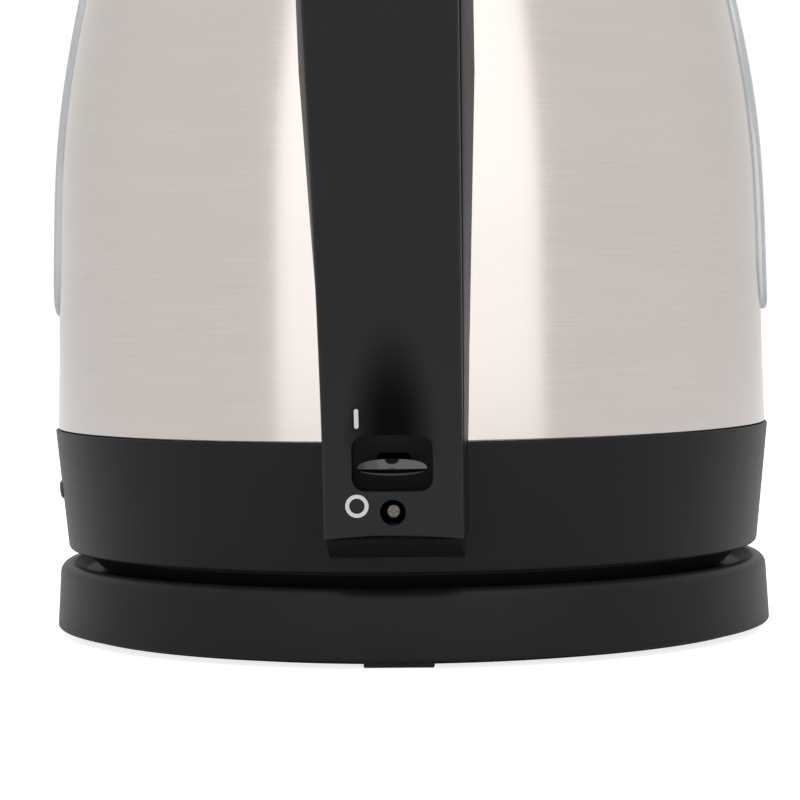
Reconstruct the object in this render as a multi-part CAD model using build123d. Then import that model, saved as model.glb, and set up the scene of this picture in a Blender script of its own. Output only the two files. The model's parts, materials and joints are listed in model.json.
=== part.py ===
"""Electric kettle: a brushed steel jug that lifts off a cordless power base.

Millimetres. +Z is up and z = 0 is the table. The origin is on the vertical axis of the base.
The handle points to -Y and the spout to +Y. Outlines of turned pieces are (radius, height).
"""
import os
from math import atan2, cos, hypot, pi, radians, sin, sqrt

from build123d import *

OUT = "parts"
os.makedirs(OUT, exist_ok=True)

# ---------------------------------------------------------------- driving dimensions
# Power base
SKIRT_R = 75.4          # outer radius of the base at its lower edge
SKIRT_TOP_R = 74.6      # the skirt leans in a little towards its rim
SKIRT_Z = 1.6           # lower edge of the skirt above the table
RIM_Z = 15.5            # top of the rim round the recessed deck
DECK_Z = 13.0           # upper face of the recessed deck
DECK_T = 2.0
SHELL_T = 2.4           # wall of the plastic mouldings
PLATE_Z = 2.2           # underside of the bottom plate
PLATE_T = 2.0
PLATE_RIM_Z = 0.8       # the plate's drip rim hangs a little below the skirt
FOOT_PAD_W = 13.5       # width of one foot pad
FOOT_PAD_ANGLES = (0, 90, 180, 270)

# Cordless connector
STUB_R = 16.5           # round stub of the base socket
STUB_TOP = 30.3
SLOT_FLOOR = 20.0       # bottom of the annular contact slots in the stub
EARTH_R = 11.5          # mean radii of the ring contacts
NEUTRAL_R = 6.4
MOUTH_R = 17.2          # bore of the jug's control unit, round the stub

# Jug
COLLAR_Z = 19.2         # lower edge of the collar
SEAM_Z = 43.1           # seam between collar and steel
COLLAR_LOW_R = 72.9
COLLAR_TOP_R = 75.3
BODY_TOP_Z = 200.0      # top edge of the steel
BODY_TOP_R = 53.4
STEEL_T = 0.8
# Outer radius of the steel up the belly; above the last point the wall is a straight cone
BELLY = [(74.7, SEAM_Z), (73.8, 76.6), (72.7, 101.6), (69.9, 121.6), (65.7, 141.6)]

# Water window, one on each side
WINDOW_W = 17.8
WINDOW_LOW = 66.4
WINDOW_HIGH = 172.0
WINDOW_PROUD = 1.5

# Handle, side outlines as (distance from the axis, height)
HANDLE_OUTER = [(62.6, 218.0), (90.0, 219.3), (111.0, 212.5), (124.0, 198.0), (128.5, 176.0),
                (126.3, 150.0), (118.0, 121.0), (107.0, 94.0), (97.0, 67.0), (91.6, 44.0), (89.5, 26.6)]
HANDLE_INNER = [(62.6, 198.5), (79.0, 199.0), (92.5, 195.0), (100.5, 185.0), (103.0, 169.0),
                (101.0, 149.0), (94.5, 124.0), (84.5, 98.0), (76.5, 77.0), (69.0, 62.0)]
COVER_DEPTH = 6.5       # how far the outer cover reaches round the grip
COVER_HALF_W = (13.0, 13.8)     # half width at the foot and along the grip
GRIP_HALF_W = (13.7, 16.4)      # the same for the inner shell
WIDENING = (45.0, 125.0)        # heights between which the handle widens
HANDLE_FOOT = (72.0, 21.0)      # lower inner corner of the foot, inside the collar
SCREW_Z = 31.0          # screw through the foot of the handle
SCREW_WELL_R = 2.4
TONGUE_SCREW_Y = -76.0  # screw that holds the top of the handle to the rim's tongue

# Switch in the foot of the handle
SWITCH_WINDOW = (15.0, 10.3)
SWITCH_WINDOW_Z = 40.05
SWITCH_WINDOW_CORNER = 2.4
LEVER_Z = 39.7
LEVER_PIVOT_Y = -79.0
LEVER_SIZE = (12.8, 4.4)
PIN_R = 0.8
RUNNING_FIT = 0.05      # radial clearance of a turning pin

# Lid
HINGE_Y = -57.0
HINGE_Z = 211.5
HINGE_PIN_R = 1.5
LID_R = 52.6
LID_SEAM_Z = 206.9
LID_TOP_Z = 219.6
BUTTON_R = 9.8
RIM_RING_TOP = 206.4    # upper face of the ring on the jug's top edge

BOTTOM = (Align.CENTER, Align.CENTER, Align.MIN)


# ---------------------------------------------------------------- helpers
def write(shape, node):
    """Writes one node as a STEP file."""
    solids = shape.solids()
    shape = solids[0] if len(solids) == 1 else Compound(children=list(solids))
    export_step(shape, f"{OUT}/{node}.step")


def rod(r, z0, z1, x=0.0, y=0.0):
    """Upright round bar."""
    return Pos(x, y, z0) * Cylinder(r, z1 - z0, align=BOTTOM)


def tube(r_out, r_in, z0, z1, x=0.0, y=0.0):
    """Upright tube or flat ring."""
    return rod(r_out, z0, z1, x, y) - rod(r_in, z0 - 1, z1 + 1, x, y)


def bar_x(r, x0, x1, y, z):
    """Round bar along X."""
    return Pos(x0, y, z) * Rot(0, 90, 0) * Cylinder(r, x1 - x0, align=BOTTOM)


def bar_y(r, y0, y1, x, z):
    """Round bar along Y."""
    return Pos(x, y0, z) * Rot(-90, 0, 0) * Cylinder(r, y1 - y0, align=BOTTOM)


def block(x0, x1, y0, y1, z0, z1):
    """Rectangular block between two corners."""
    return Pos((x0 + x1) / 2, (y0 + y1) / 2, (z0 + z1) / 2) * Box(x1 - x0, y1 - y0, z1 - z0)


def turned(edges, arc=360):
    """Solid of revolution of a closed outline in (radius, height)."""
    return revolve(Plane.XZ * make_face(edges), Axis.Z, arc)


def turned_points(*points):
    return turned(Polyline(*points, close=True).edges())


def side_cut(edges, half_width):
    """Solid with a closed outline in (y, z), reaching half_width to each side of the middle plane."""
    return extrude(Plane.YZ * make_face(edges), half_width, both=True)


def belly_edges(offset):
    """Wall outline of the steel, moved out by offset: the curved belly, then the cone."""
    points = [(r + offset, z) for r, z in BELLY]
    curve = Spline(*points, tangents=[(-0.02, 1), (-0.21, 1)])
    return curve.edges() + Line(points[-1], (BODY_TOP_R + offset, BODY_TOP_Z)).edges()


def belly_band(outer, inner):
    """Shell of the steel's shape between two offsets from its outer face."""
    low_out, low_in = BELLY[0][0] + outer, BELLY[0][0] + inner
    top_out, top_in = BODY_TOP_R + outer, BODY_TOP_R + inner
    low_end = Line((low_out, SEAM_Z), (low_in, SEAM_Z)).edges()
    top_end = Line((top_out, BODY_TOP_Z), (top_in, BODY_TOP_Z)).edges()
    return turned(belly_edges(outer) + belly_edges(inner) + low_end + top_end)


def jug_envelope(gap):
    """Everything inside the outer face of collar and steel, grown by gap."""
    low, seam = (COLLAR_LOW_R + gap, COLLAR_Z - 1), (COLLAR_TOP_R + gap, SEAM_Z)
    edges = Polyline((0, COLLAR_Z - 1), low, seam, (BELLY[0][0] + gap, SEAM_Z)).edges() + belly_edges(gap)
    edges += Polyline((BODY_TOP_R + gap, BODY_TOP_Z), (0, BODY_TOP_Z), (0, COLLAR_Z - 1)).edges()
    return turned(edges)


def around(radius, angles):
    """Places on a circle, angles in degrees from +X."""
    return [(radius * cos(radians(a)), radius * sin(radians(a))) for a in angles]


def screw(head_r, head_t, shank_r, length):
    """Pan head screw that points up from its head at z = 0, with a cross recess in the head."""
    head = rod(head_r, 0, head_t)
    head = fillet(head.edges().sort_by(Axis.Z)[0], head_t * 0.45)
    recess = Box(head_r * 1.2, head_r * 0.26, head_t) + Box(head_r * 0.26, head_r * 1.2, head_t)
    return head + rod(shank_r, head_t, length) - recess


def lead(radius, points, bend):
    """Insulated wire along straight runs joined by bends."""
    path = FilletPolyline(*points, radius=bend)
    start = Plane(origin=path @ 0, z_dir=path % 0)
    return sweep(start * Circle(radius), path)


def coil(mean_r, wire_r, height, turns):
    """Coil spring that stands on z = 0."""
    path = Helix(height / turns, height, mean_r)
    start = Plane(origin=path @ 0, z_dir=path % 0)
    return sweep(start * Circle(wire_r), path, is_frenet=True)


# ---------------------------------------------------------------- power base
INLET_Z = 7.2           # cord inlet in the back of the skirt
INLET_R = 4.7
INLET_BORE_R = 3.2
POST_R = 58.0           # circle of the base screws
BASE_SCREW_ANGLES = (45, 135, 225, 315)
base_posts = around(POST_R, BASE_SCREW_ANGLES)


def inlet_hole():
    """Round hole in the back of the skirt for the cord's bushing."""
    return bar_y(INLET_R + 0.05, 68.0, SKIRT_R + 1, 0, INLET_Z)


def base_cover():
    """Skirt, rounded rim and recessed deck, with screw posts inside."""
    shoulder, rim = (SKIRT_TOP_R, RIM_Z - 2.2), (SKIRT_TOP_R - 2.3, RIM_Z)
    outline = Line((SKIRT_R, SKIRT_Z), shoulder).edges()
    outline += ThreePointArc(shoulder, (SKIRT_TOP_R - 0.6, RIM_Z - 0.65), rim).edges()
    deck_under, hole_r = DECK_Z - DECK_T, STUB_R + 0.3
    outline += Polyline(
        rim, (71.4, RIM_Z - 0.4), (69.6, DECK_Z), (hole_r, DECK_Z), (hole_r, deck_under), (68.4, deck_under),
        (71.9, DECK_Z), (SKIRT_R - SHELL_T, SKIRT_Z), (SKIRT_R, SKIRT_Z)
    ).edges()
    cover = turned(outline)
    for x, y in base_posts:
        cover += rod(3.6, PLATE_Z + PLATE_T, DECK_Z - DECK_T / 2, x, y)
        cover -= rod(1.3, 0, DECK_Z - DECK_T, x, y)
    drain = rod(2.0, DECK_Z - DECK_T - 1, DECK_Z + 1, 0, -34)
    return cover - drain - inlet_hole()


def base_bottom_plate():
    """Disc that closes the base from below, with a drip rim, a stiffening ring and drain slots."""
    top, plate_r, rim_t = PLATE_Z + PLATE_T, SKIRT_R - SHELL_T - 0.35, 3.2
    plate = rod(plate_r, PLATE_RIM_Z, top) - rod(plate_r - rim_t, 0, PLATE_Z)
    plate = fillet(plate.edges().group_by(Axis.Z)[0].sort_by(SortBy.RADIUS)[-1], 0.6)
    plate += tube(42, 40.5, top, top + 3)
    plate -= block(-12, 12, 36, 44, top, top + 4)
    for x, y in base_posts:
        plate -= rod(1.9, 0, 10, x, y)
    for angle in range(0, 360, 45):
        drain = extrude(SlotOverall(12, 3), PLATE_T * 2, both=True)
        plate -= Rot(0, 0, angle) * Pos(30, 0, PLATE_Z) * drain
    for angle in FOOT_PAD_ANGLES:
        plate -= Rot(0, 0, angle) * foot_pad(0.15)
    return plate - inlet_hole()


def foot_pad(grow):
    """Pad along +X that reaches out through the plate's rim, wider by grow on each side."""
    half = FOOT_PAD_W / 2 + grow
    return block(64, SKIRT_R - SHELL_T - 0.6 + 4 * grow, -half, half, 0, PLATE_Z)


def foot_ring():
    """Anti-slip rubber ring with four pads that show under the skirt."""
    pads = tube(67, 63, 0, PLATE_Z)
    for angle in FOOT_PAD_ANGLES:
        pads += Rot(0, 0, angle) * foot_pad(0)
    return fillet(pads.edges().group_by(Axis.Z)[0], 0.4)


def base_screws():
    return [Pos(x, y, PLATE_Z - 1.3) * screw(3.4, 1.3, 1.2, 8.5) for x, y in base_posts]


def base_socket():
    """Round stub with annular slots for the ring contacts, held under the deck by its flange."""
    stub = rod(STUB_R, DECK_Z - DECK_T, STUB_TOP)
    stub = fillet(stub.edges().sort_by(Axis.Z)[-1], 1.2)
    stub += rod(26, DECK_Z - DECK_T - 2.6, DECK_Z - DECK_T)
    for mean_r in (EARTH_R, NEUTRAL_R):
        stub -= tube(mean_r + 1.05, mean_r - 1.05, SLOT_FLOOR, STUB_TOP + 1)
    return stub - rod(2.6, SLOT_FLOOR, STUB_TOP + 1)


def base_contacts():
    """Sprung contact segments on the floors of the slots, and the line contact in the middle."""
    parts = [rod(1.9, SLOT_FLOOR, SLOT_FLOOR + 1.4)]
    for mean_r in (EARTH_R, NEUTRAL_R):
        section = Plane.XZ * Pos(mean_r, SLOT_FLOOR + 0.7) * Rectangle(1.2, 1.4)
        segment = revolve(section, Axis.Z, 70)
        parts += [Rot(0, 0, angle) * segment for angle in (10, 190)]
    return parts


def base_leads():
    """Three short wires from the cord clamp to the socket flange."""
    wire_r, back, front = 1.2, 52, 22
    z = DECK_Z - DECK_T - 4.5
    leads = [bar_y(wire_r, front, back, 0, z)]
    for x in (-4.0, 4.0):
        route = [(x, back, z), (x, 44, z), (x * 2.2, 34, z), (x * 2.2, front, z)]
        leads.append(lead(wire_r, route, 3.0))
    return leads


def cord_inlet():
    """Bushing in the skirt that the mains cord would pass through."""
    bush = bar_y(INLET_R, 68.5, SKIRT_TOP_R + 0.2, 0, INLET_Z)
    return bush - bar_y(INLET_BORE_R, 60, 80, 0, INLET_Z)


CLAMP_Y = (55.0, 61.0)


def cord_clamp():
    """Saddle that grips the cord behind the inlet."""
    low = PLATE_Z + PLATE_T + 0.1
    saddle = block(-10, 10, *CLAMP_Y, INLET_Z - 1.2, DECK_Z - DECK_T - 0.2)
    saddle += block(-10, -5.6, *CLAMP_Y, low, INLET_Z) + block(5.6, 10, *CLAMP_Y, low, INLET_Z)
    saddle -= bar_y(INLET_BORE_R - 0.3, 50, 65, 0, INLET_Z)
    for x in (-7.8, 7.8):
        saddle -= rod(1.25, 0, 20, x, sum(CLAMP_Y) / 2)
    return saddle


def clamp_screws():
    """Two screws up through the bottom plate into the saddle."""
    return [rod(1.15, 4.4, 10, x, sum(CLAMP_Y) / 2) for x in (-7.8, 7.8)]


# ---------------------------------------------------------------- turning ring between base and jug
def socket_shutter():
    """Loose drip ring round the stub that turns with the jug."""
    ring = tube(22.2, STUB_R + 0.5, DECK_Z + 0.35, DECK_Z + 2.8)
    return fillet(ring.edges().filter_by(GeomType.CIRCLE).group_by(Axis.Z)[-1], 0.7)


# ---------------------------------------------------------------- jug: underside and heating
BOSS_R = 62.0
BOSS_ANGLES = (90, 210, 330)
bosses = around(BOSS_R, BOSS_ANGLES)
FOOT_SCREW_R = 0.9
FOOT_SCREW_HOLE_R = 1.0
LENS_Z = 30.3           # height of the pilot light in the collar
LENS_SIZE = (9.0, 3.6)
LENS_TURN = Rot(0, 0, 8)        # from -X a little towards the handle


def lens_bar(grow):
    """Slot-shaped bar out through the collar for the pilot light."""
    outline = SlotOverall(LENS_SIZE[0] + 2 * grow, LENS_SIZE[1] + 2 * grow)
    return LENS_TURN * extrude(Plane.YZ * Pos(0, LENS_Z) * outline, -80)


def collar():
    """Plastic skirt of the jug: a lip over the steel's lower edge, screw bosses and a wiring gap."""
    lip_z, lip_r, wall_r = 32.6, 72.75, 70.0
    top = SEAM_Z - 0.1
    body = turned_points(
        (wall_r, COLLAR_Z), (COLLAR_LOW_R - 1.0, COLLAR_Z), (COLLAR_LOW_R, COLLAR_Z + 0.9),
        (COLLAR_TOP_R, top), (lip_r, top), (lip_r, lip_z), (wall_r, lip_z)
    )
    for angle, (x, y) in zip(BOSS_ANGLES, bosses):
        web = Rot(0, 0, angle) * block(BOSS_R, wall_r + 0.5, -1.5, 1.5, COLLAR_Z + 2.3, lip_z - 2)
        body += rod(4, 17.0, lip_z - 2, x, y) + web
        body -= rod(1.3, 10, lip_z - 4, x, y)
    body -= bar_y(FOOT_SCREW_HOLE_R, -80, -65, 0, SCREW_Z)
    return body - block(-10.5, 10.5, -77, -66, 23.0, 28.8) - lens_bar(0.05)


def bottom_cover():
    """Underside of the jug, stepped down into the base's recess."""
    low, hole_r, out_r, top = 14.3, 31.0, 69.5, 20.6
    cover = turned_points(
        (hole_r, low), (out_r - 3.2, low), (out_r, 17.4), (out_r, top), (out_r - 1.9, top),
        (out_r - 1.9, 18.4), (out_r - 3.9, low + 2.2), (hole_r, low + 2.2)
    )
    for x, y in bosses:
        cover -= rod(1.6, 0, 20, x, y) + rod(3.3, 10, 15.4, x, y)
    return cover


def bottom_screws():
    return [Pos(x, y, 14.35) * screw(3.0, 1.0, 1.2, 10.0) for x, y in bosses]


CONTROL_TOP = 34.0


def control_unit():
    """Cordless control: mouth for the stub, flange on the bottom cover, posts for the safety discs."""
    unit = rod(30.6, 14.6, CONTROL_TOP) + rod(34, 16.6, 18.6)
    for x in (-13, 13):
        unit += rod(7, CONTROL_TOP - 1, 39.6, x, 8)
    for x in (-8.3, 8.3):
        unit += block(x - 2, x + 2, -36, -27, 25, 29)
    unit -= rod(MOUTH_R, 10, STUB_TOP + 0.7)
    return unit - rod(23.0, 10, DECK_Z + 3.3)


def control_contacts():
    """Line pin, neutral ring and earth ring that plunge into the stub's slots."""
    top, low = STUB_TOP + 0.7, SLOT_FLOOR + 2.0
    return [rod(1.6, low, top), tube(NEUTRAL_R + 0.4, NEUTRAL_R - 0.4, low, top),
            tube(EARTH_R + 0.5, EARTH_R - 0.5, low, top)]


def safety_discs():
    """Two snap discs that cut the power if the jug boils dry."""
    return [rod(6.2, 39.7, 40.3, x, 8) + rod(1.6, 40.3, 40.9, x, 8) for x in (-13, 13)]


ELEMENT_R = 46.0
ELEMENT_TUBE_R = 3.2
ELEMENT_Z = 37.7


def heating_element():
    """Sheathed element: most of a circle, with two cold tails turned down."""
    gap_deg = 60
    section = Plane.XZ * Pos(ELEMENT_R, ELEMENT_Z) * Circle(ELEMENT_TUBE_R)
    ring = Rot(0, 0, gap_deg / 2 - 90) * revolve(section, Axis.Z, 360 - gap_deg)
    for x, y in around(ELEMENT_R, (gap_deg / 2 - 90, -gap_deg / 2 - 90)):
        ring += Pos(x, y, ELEMENT_Z) * Sphere(ELEMENT_TUBE_R) + rod(ELEMENT_TUBE_R, 27, ELEMENT_Z, x, y)
        ring += rod(1.2, 22.5, 27.5, x, y)
    return ring


def heat_diffuser():
    """Aluminium disc brazed under the heater plate."""
    disc = rod(58, 41.0, 43.95)
    return chamfer(disc.edges().group_by(Axis.Z)[0], 0.8)


def heater_plate():
    """Steel floor of the water space, with a shallow rim that meets the wall."""
    return rod(73.4, 43.98, 45.0) + tube(73.4, 72.4, 45.0, 46.6)


# ---------------------------------------------------------------- jug: steel body and windows
def window_slot(side, width, height_margin):
    """Round-ended prism through the wall on one side, 1 for +X and -1 for -X."""
    middle, length = (WINDOW_LOW + WINDOW_HIGH) / 2, WINDOW_HIGH - WINDOW_LOW + 2 * height_margin
    outline = Plane.YZ * Pos(0, middle) * SlotOverall(length, width, rotation=90)
    return extrude(outline, 90 * side)


def steel_body():
    """Drawn steel wall with two window slots, the outlet to the spout and a joggled lower edge."""
    wall = belly_band(0, -STEEL_T)
    wall += tube(72.6, 71.8, 33.0, SEAM_Z + 0.4) + tube(74.5, 71.8, SEAM_Z, SEAM_Z + 0.8)
    for side in (1, -1):
        wall -= window_slot(side, WINDOW_W + 0.4, 0.2)
    outlet = make_face(Polyline((-6, 175), (6, 175), (12.5, 195.5), (-12.5, 195.5), close=True))
    return wall - extrude(Plane.XZ * fillet(outlet.vertices(), 2), -70)


def water_window(side):
    """Clear lens that stands proud of the wall, with a wider flange behind it."""
    lens = belly_band(WINDOW_PROUD, -2.2) & window_slot(side, WINDOW_W, 0)
    flange = belly_band(-2.0, -3.6) & window_slot(side, WINDOW_W + 8, 4)
    return lens + flange


def window_seal(side):
    """Silicone gasket between the steel and the window's flange."""
    ring = belly_band(-STEEL_T - 0.05, -1.95) & window_slot(side, WINDOW_W + 8, 4)
    return ring - window_slot(side, WINDOW_W + 0.4, 0.2)


def spout_loft(grow, low_z):
    """Tapered V of the spout, from a small section on the belly up to the pouring lip."""
    top_z = 204.5
    sections = []
    for z, half, root_y, tip_y, tip_r in ((low_z, 9.0, 52.0, 63.0, 2.6), (top_z, 25.0, 42.0, 79.5, 6.0)):
        half, tip_y, tip_r = half + grow, tip_y + grow, tip_r + grow
        centre = tip_y - tip_r
        run = hypot(half, centre - root_y)
        lean = atan2(half, centre - root_y)
        touch = pi / 2 - lean - atan2(tip_r, sqrt(run**2 - tip_r**2))
        tx, ty = tip_r * abs(cos(touch)), tip_r * abs(sin(touch))
        edges = Line((-half, root_y), (-tx, centre + ty)).edges()
        edges += ThreePointArc((-tx, centre + ty), (0, tip_y), (tx, centre + ty)).edges()
        edges += Polyline((tx, centre + ty), (half, root_y), (-half, root_y)).edges()
        sections.append(Plane.XY.offset(z) * make_face(edges))
    return loft(sections)


def spout():
    """Thin pouring spout welded over the outlet, open at the top."""
    shell = spout_loft(0, 157.0) - jug_envelope(0.05) - rod(55.3, BODY_TOP_Z - 0.5, 210)
    inside = spout_loft(-1.2, 160.0) + Pos(0, 0, 1.0) * spout_loft(-1.2, 160.0)
    return shell - inside


def rim_ring():
    """Ring on the steel's top edge, with the tongue that carries the handle and the lid's hinge lugs."""
    low, top, lip_z, plug_r = 196.5, RIM_RING_TOP, BODY_TOP_Z + 0.3, 52.0
    ring = turned_points(
        (46.9, low), (plug_r, low), (plug_r, lip_z), (54.3, lip_z), (55.0, 203.2), (53.8, 205.9), (53.0, top),
        (47.3, top)
    )
    ring += block(-13.4, 13.4, -62.0, -50.5, BODY_TOP_Z + 0.6, 205.0)
    ring += block(-11.2, 11.2, -86.0, -61.0, 201.2, 204.4)
    for x in (-10.8, 10.8):
        ring += block(x - 2, x + 2, HINGE_Y - 4, HINGE_Y + 4, 204.0, HINGE_Z)
        ring += bar_x(4, x - 2, x + 2, HINGE_Y, HINGE_Z)
    ring -= bar_x(HINGE_PIN_R, -20, 20, HINGE_Y, HINGE_Z)
    return ring - rod(1.25, 190, 210, 0, TONGUE_SCREW_Y)


# ---------------------------------------------------------------- handle
def moved_in(points, distance):
    """The same outline moved sideways by distance, to the right of its direction of travel."""
    moved = []
    for i, (r, z) in enumerate(points):
        before, after = points[max(i - 1, 0)], points[min(i + 1, len(points) - 1)]
        dr, dz = after[0] - before[0], after[1] - before[1]
        length = hypot(dr, dz)
        moved.append((r + distance * dz / length, z - distance * dr / length))
    return moved


def as_yz(points):
    """Points given as (distance from the axis, height) in the handle's middle plane, as (y, z)."""
    return [(-r, z) for r, z in points]


def handle_face(outer, inner, foot):
    """Closed outline in (y, z) from the two sides of the handle and the lower inner corner of its foot."""
    outer, inner = as_yz(outer), as_yz(inner)
    edges = Spline(*outer).edges() + Spline(*inner).edges()
    edges += Polyline(outer[-1], *as_yz([foot]), inner[-1]).edges() + Line(outer[0], inner[0]).edges()
    return edges


def front_shape(half_widths, grow):
    """Prism that tapers the handle in the front view."""
    foot, grip = half_widths[0] + grow, half_widths[1] + grow
    right = [(foot, 15), (foot, WIDENING[0]), (grip, WIDENING[1]), (grip, 225)]
    left = [(-x, z) for x, z in reversed(right)]
    return extrude(Plane.XZ * make_face(Polyline(*right, *left, close=True)), 140)


def handle_block(half_widths):
    """Solid handle in one piece."""
    edges = handle_face(HANDLE_OUTER, HANDLE_INNER, HANDLE_FOOT)
    return side_cut(edges, 20) & front_shape(half_widths, 0)


def handle_hollow(half_widths):
    """Room inside the handle."""
    outer = moved_in(HANDLE_OUTER, SHELL_T)
    inner = moved_in(HANDLE_INNER, -SHELL_T)
    outer[0] = (HANDLE_OUTER[0][0] + SHELL_T, outer[0][1])
    inner[0] = (HANDLE_INNER[0][0] + SHELL_T, inner[0][1])
    outer[-1] = (HANDLE_OUTER[-1][0] - SHELL_T, HANDLE_OUTER[-1][1] + 1.6)
    edges = handle_face(outer, inner, (HANDLE_FOOT[0], HANDLE_FOOT[1] + 3))
    return side_cut(edges, 20) & front_shape(half_widths, -SHELL_T)


def cover_zone(depth):
    """Strip along the outside of the handle that belongs to the cover."""
    foot_r, reach = HANDLE_OUTER[-1][0], 8
    far = moved_in(HANDLE_OUTER, -reach)
    near = moved_in(HANDLE_OUTER, depth)
    far[0], near[0] = (55.0, far[0][1]), (55.0, near[0][1])
    far[-1], near[-1] = (foot_r + reach, 22.0), (foot_r - depth, 24.4)
    far, near = as_yz(far), as_yz(near)
    edges = Spline(*far).edges() + Spline(*near).edges()
    edges += Line(far[0], near[0]).edges() + Line(far[-1], near[-1]).edges()
    return side_cut(edges, 20)


def thumb_scoop(grow):
    """Hollow for the thumb, deepest at the upper edge of the switch window."""
    bowl = scale(Sphere(15.6 + grow), (0.56, 1, 1.25))
    return Pos(0, -104.2, 50.5) * Rot(-9, 0, 0) * bowl


WELL_END_Y = -84.1      # inner end of the boss round the foot screw's well
WELL_FLOOR_T = 1.4


def handle_cover():
    """Outer shell of the handle, with the switch window, thumb scoop and screw well."""
    zone = cover_zone(COVER_DEPTH)
    shell = handle_block(COVER_HALF_W) & zone
    room = (handle_hollow(COVER_HALF_W) & zone) - thumb_scoop(2.0)
    outline = RectangleRounded(*SWITCH_WINDOW, SWITCH_WINDOW_CORNER)
    window = Pos(0, 0, SWITCH_WINDOW_Z) * extrude(Plane.XZ * outline, 120)
    shell = shell - room + bar_y(SCREW_WELL_R + 1.1, -89.6, WELL_END_Y, 0, SCREW_Z)
    shell -= window + thumb_scoop(0)
    shell -= bar_y(SCREW_WELL_R, -100, WELL_END_Y - WELL_FLOOR_T, 0, SCREW_Z)
    return shell - bar_y(FOOT_SCREW_HOLE_R, -100, WELL_END_Y + 1, 0, SCREW_Z)


def handle_inner():
    """Inner shell of the handle, from the tongue on the rim down to the foot on the collar."""
    zone = cover_zone(COVER_DEPTH + 0.2)
    shell = handle_block(GRIP_HALF_W) - zone - handle_hollow(GRIP_HALF_W) - jug_envelope(0.1)
    shell += bar_y(3.4, -82.4, -74.0, 0, SCREW_Z) - jug_envelope(0.1)
    shell += block(-1.2, 1.2, -82.4, -75.9, 25.2, 28.2)
    tongue_gap = block(-11.4, 11.4, -86.2, -60, 201.0, 204.6)
    shell -= tongue_gap + bar_y(FOOT_SCREW_HOLE_R, -90, -70, 0, SCREW_Z)
    return shell - rod(2.9, 190, 200.4, 0, TONGUE_SCREW_Y) - rod(1.4, 190, 203, 0, TONGUE_SCREW_Y)


def handle_screws():
    """One screw through the foot into the collar, one up into the tongue."""
    head_t = 1.1
    seat = Pos(0, WELL_END_Y - WELL_FLOOR_T - head_t - 0.05, SCREW_Z)
    foot = seat * Rot(-90, 0, 0) * screw(1.5, head_t, FOOT_SCREW_R, 13.0)
    top = Pos(0, TONGUE_SCREW_Y, 199.0) * screw(2.6, 1.3, 1.2, 6.0)
    return [foot, top]


def steam_tube():
    """Tube that leads steam from under the lid down to the switch."""
    line = [
        (-66, 210), (-96, 209), (-111, 195), (-115.5, 172), (-112.5, 145), (-104, 118), (-93, 92), (-85.5, 66)
    ]
    path = FilletPolyline(*[(0, y, z) for y, z in line], radius=11)
    start = Plane(origin=path @ 0, z_dir=path % 0)
    return sweep(start * (Circle(3.3) - Circle(2.3)), path)


# ---------------------------------------------------------------- steam switch
TRIP_Y, TRIP_Z = -82.0, 54.0


def steam_switch():
    """Frame of the steam switch, two cheeks on a back plate."""
    frame = block(-8.6, 8.6, -78.0, -76.4, 46.5, 62)
    for x in (-7.6, 7.6):
        frame += block(x - 1, x + 1, -86, -76.4, 46.5, 62)
    return frame - bar_x(PIN_R, -9, 9, TRIP_Y, TRIP_Z) - jug_envelope(0.3)


def steam_disc():
    """Bimetal disc that snaps when steam reaches it, on its stem."""
    disc_z = 55.4
    return bar_y(5.6, -79.7, -79.2, 0, disc_z) + bar_y(1.2, -79.2, -78.05, 0, disc_z)


def trip_lever():
    """Rocker between the bimetal disc and the switch lever."""
    rocker = block(-6.2, 6.2, TRIP_Y - 0.8, TRIP_Y + 0.8, 47.6, 60.5)
    rocker += bar_x(2.0, -6.2, 6.2, TRIP_Y, TRIP_Z)
    return rocker - bar_x(PIN_R + RUNNING_FIT, -9, 9, TRIP_Y, TRIP_Z)


def trip_pin():
    return bar_x(PIN_R, -8.6, 8.6, TRIP_Y, TRIP_Z)


def switch_lever():
    """Thumb paddle with a crowned face, an arm and a barrel on the pin."""
    wide, high = LEVER_SIZE
    face = Pos(0, -92.2, LEVER_Z) * Rot(-90, 0, 0) * extrude(Ellipse(wide / 2, high / 2), 6.5)
    crown = Pos(0, -84.9, LEVER_Z) * scale(Sphere(7.4), (1.3, 1, 0.9))
    paddle = face & crown
    paddle += block(-2.6, 2.6, -87, LEVER_PIVOT_Y, LEVER_Z - 1.2, LEVER_Z + 1.2)
    paddle += bar_x(2.2, -5, 5, LEVER_PIVOT_Y, LEVER_Z)
    paddle += block(-2, 2, LEVER_PIVOT_Y - 0.9, LEVER_PIVOT_Y + 0.9, LEVER_Z, 46.2)
    return paddle - bar_x(PIN_R + RUNNING_FIT, -9, 9, LEVER_PIVOT_Y, LEVER_Z)


def switch_pin():
    """Pin of the switch lever, held between two ears on a small bracket."""
    return bar_x(PIN_R, -6.6, 6.6, LEVER_PIVOT_Y, LEVER_Z)


def switch_bracket():
    """Bracket that carries the switch pin on the collar."""
    bracket = block(-7.2, 7.2, -76.4, -75.2, 36.0, 43.4)
    for x in (-6.2, 6.2):
        bracket += block(x - 0.9, x + 0.9, -81, -75.4, 37.6, 41.8)
    return bracket - bar_x(PIN_R, -9, 9, LEVER_PIVOT_Y, LEVER_Z) - jug_envelope(0.15)


def switch_leads():
    """Two wires from the steam switch to the control unit."""
    y, low = -79.5, 27
    return [lead(1.0, [(x, y, 46.3), (x, y, low), (x, -36.1, low)], 4.0) for x in (-8.9, 8.9)]


def pilot_lens():
    """Lens of the pilot light, a little proud of the collar."""
    return lens_bar(0) & (jug_envelope(0.6) - rod(COLLAR_LOW_R - 3.2, 0, 60))


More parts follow.
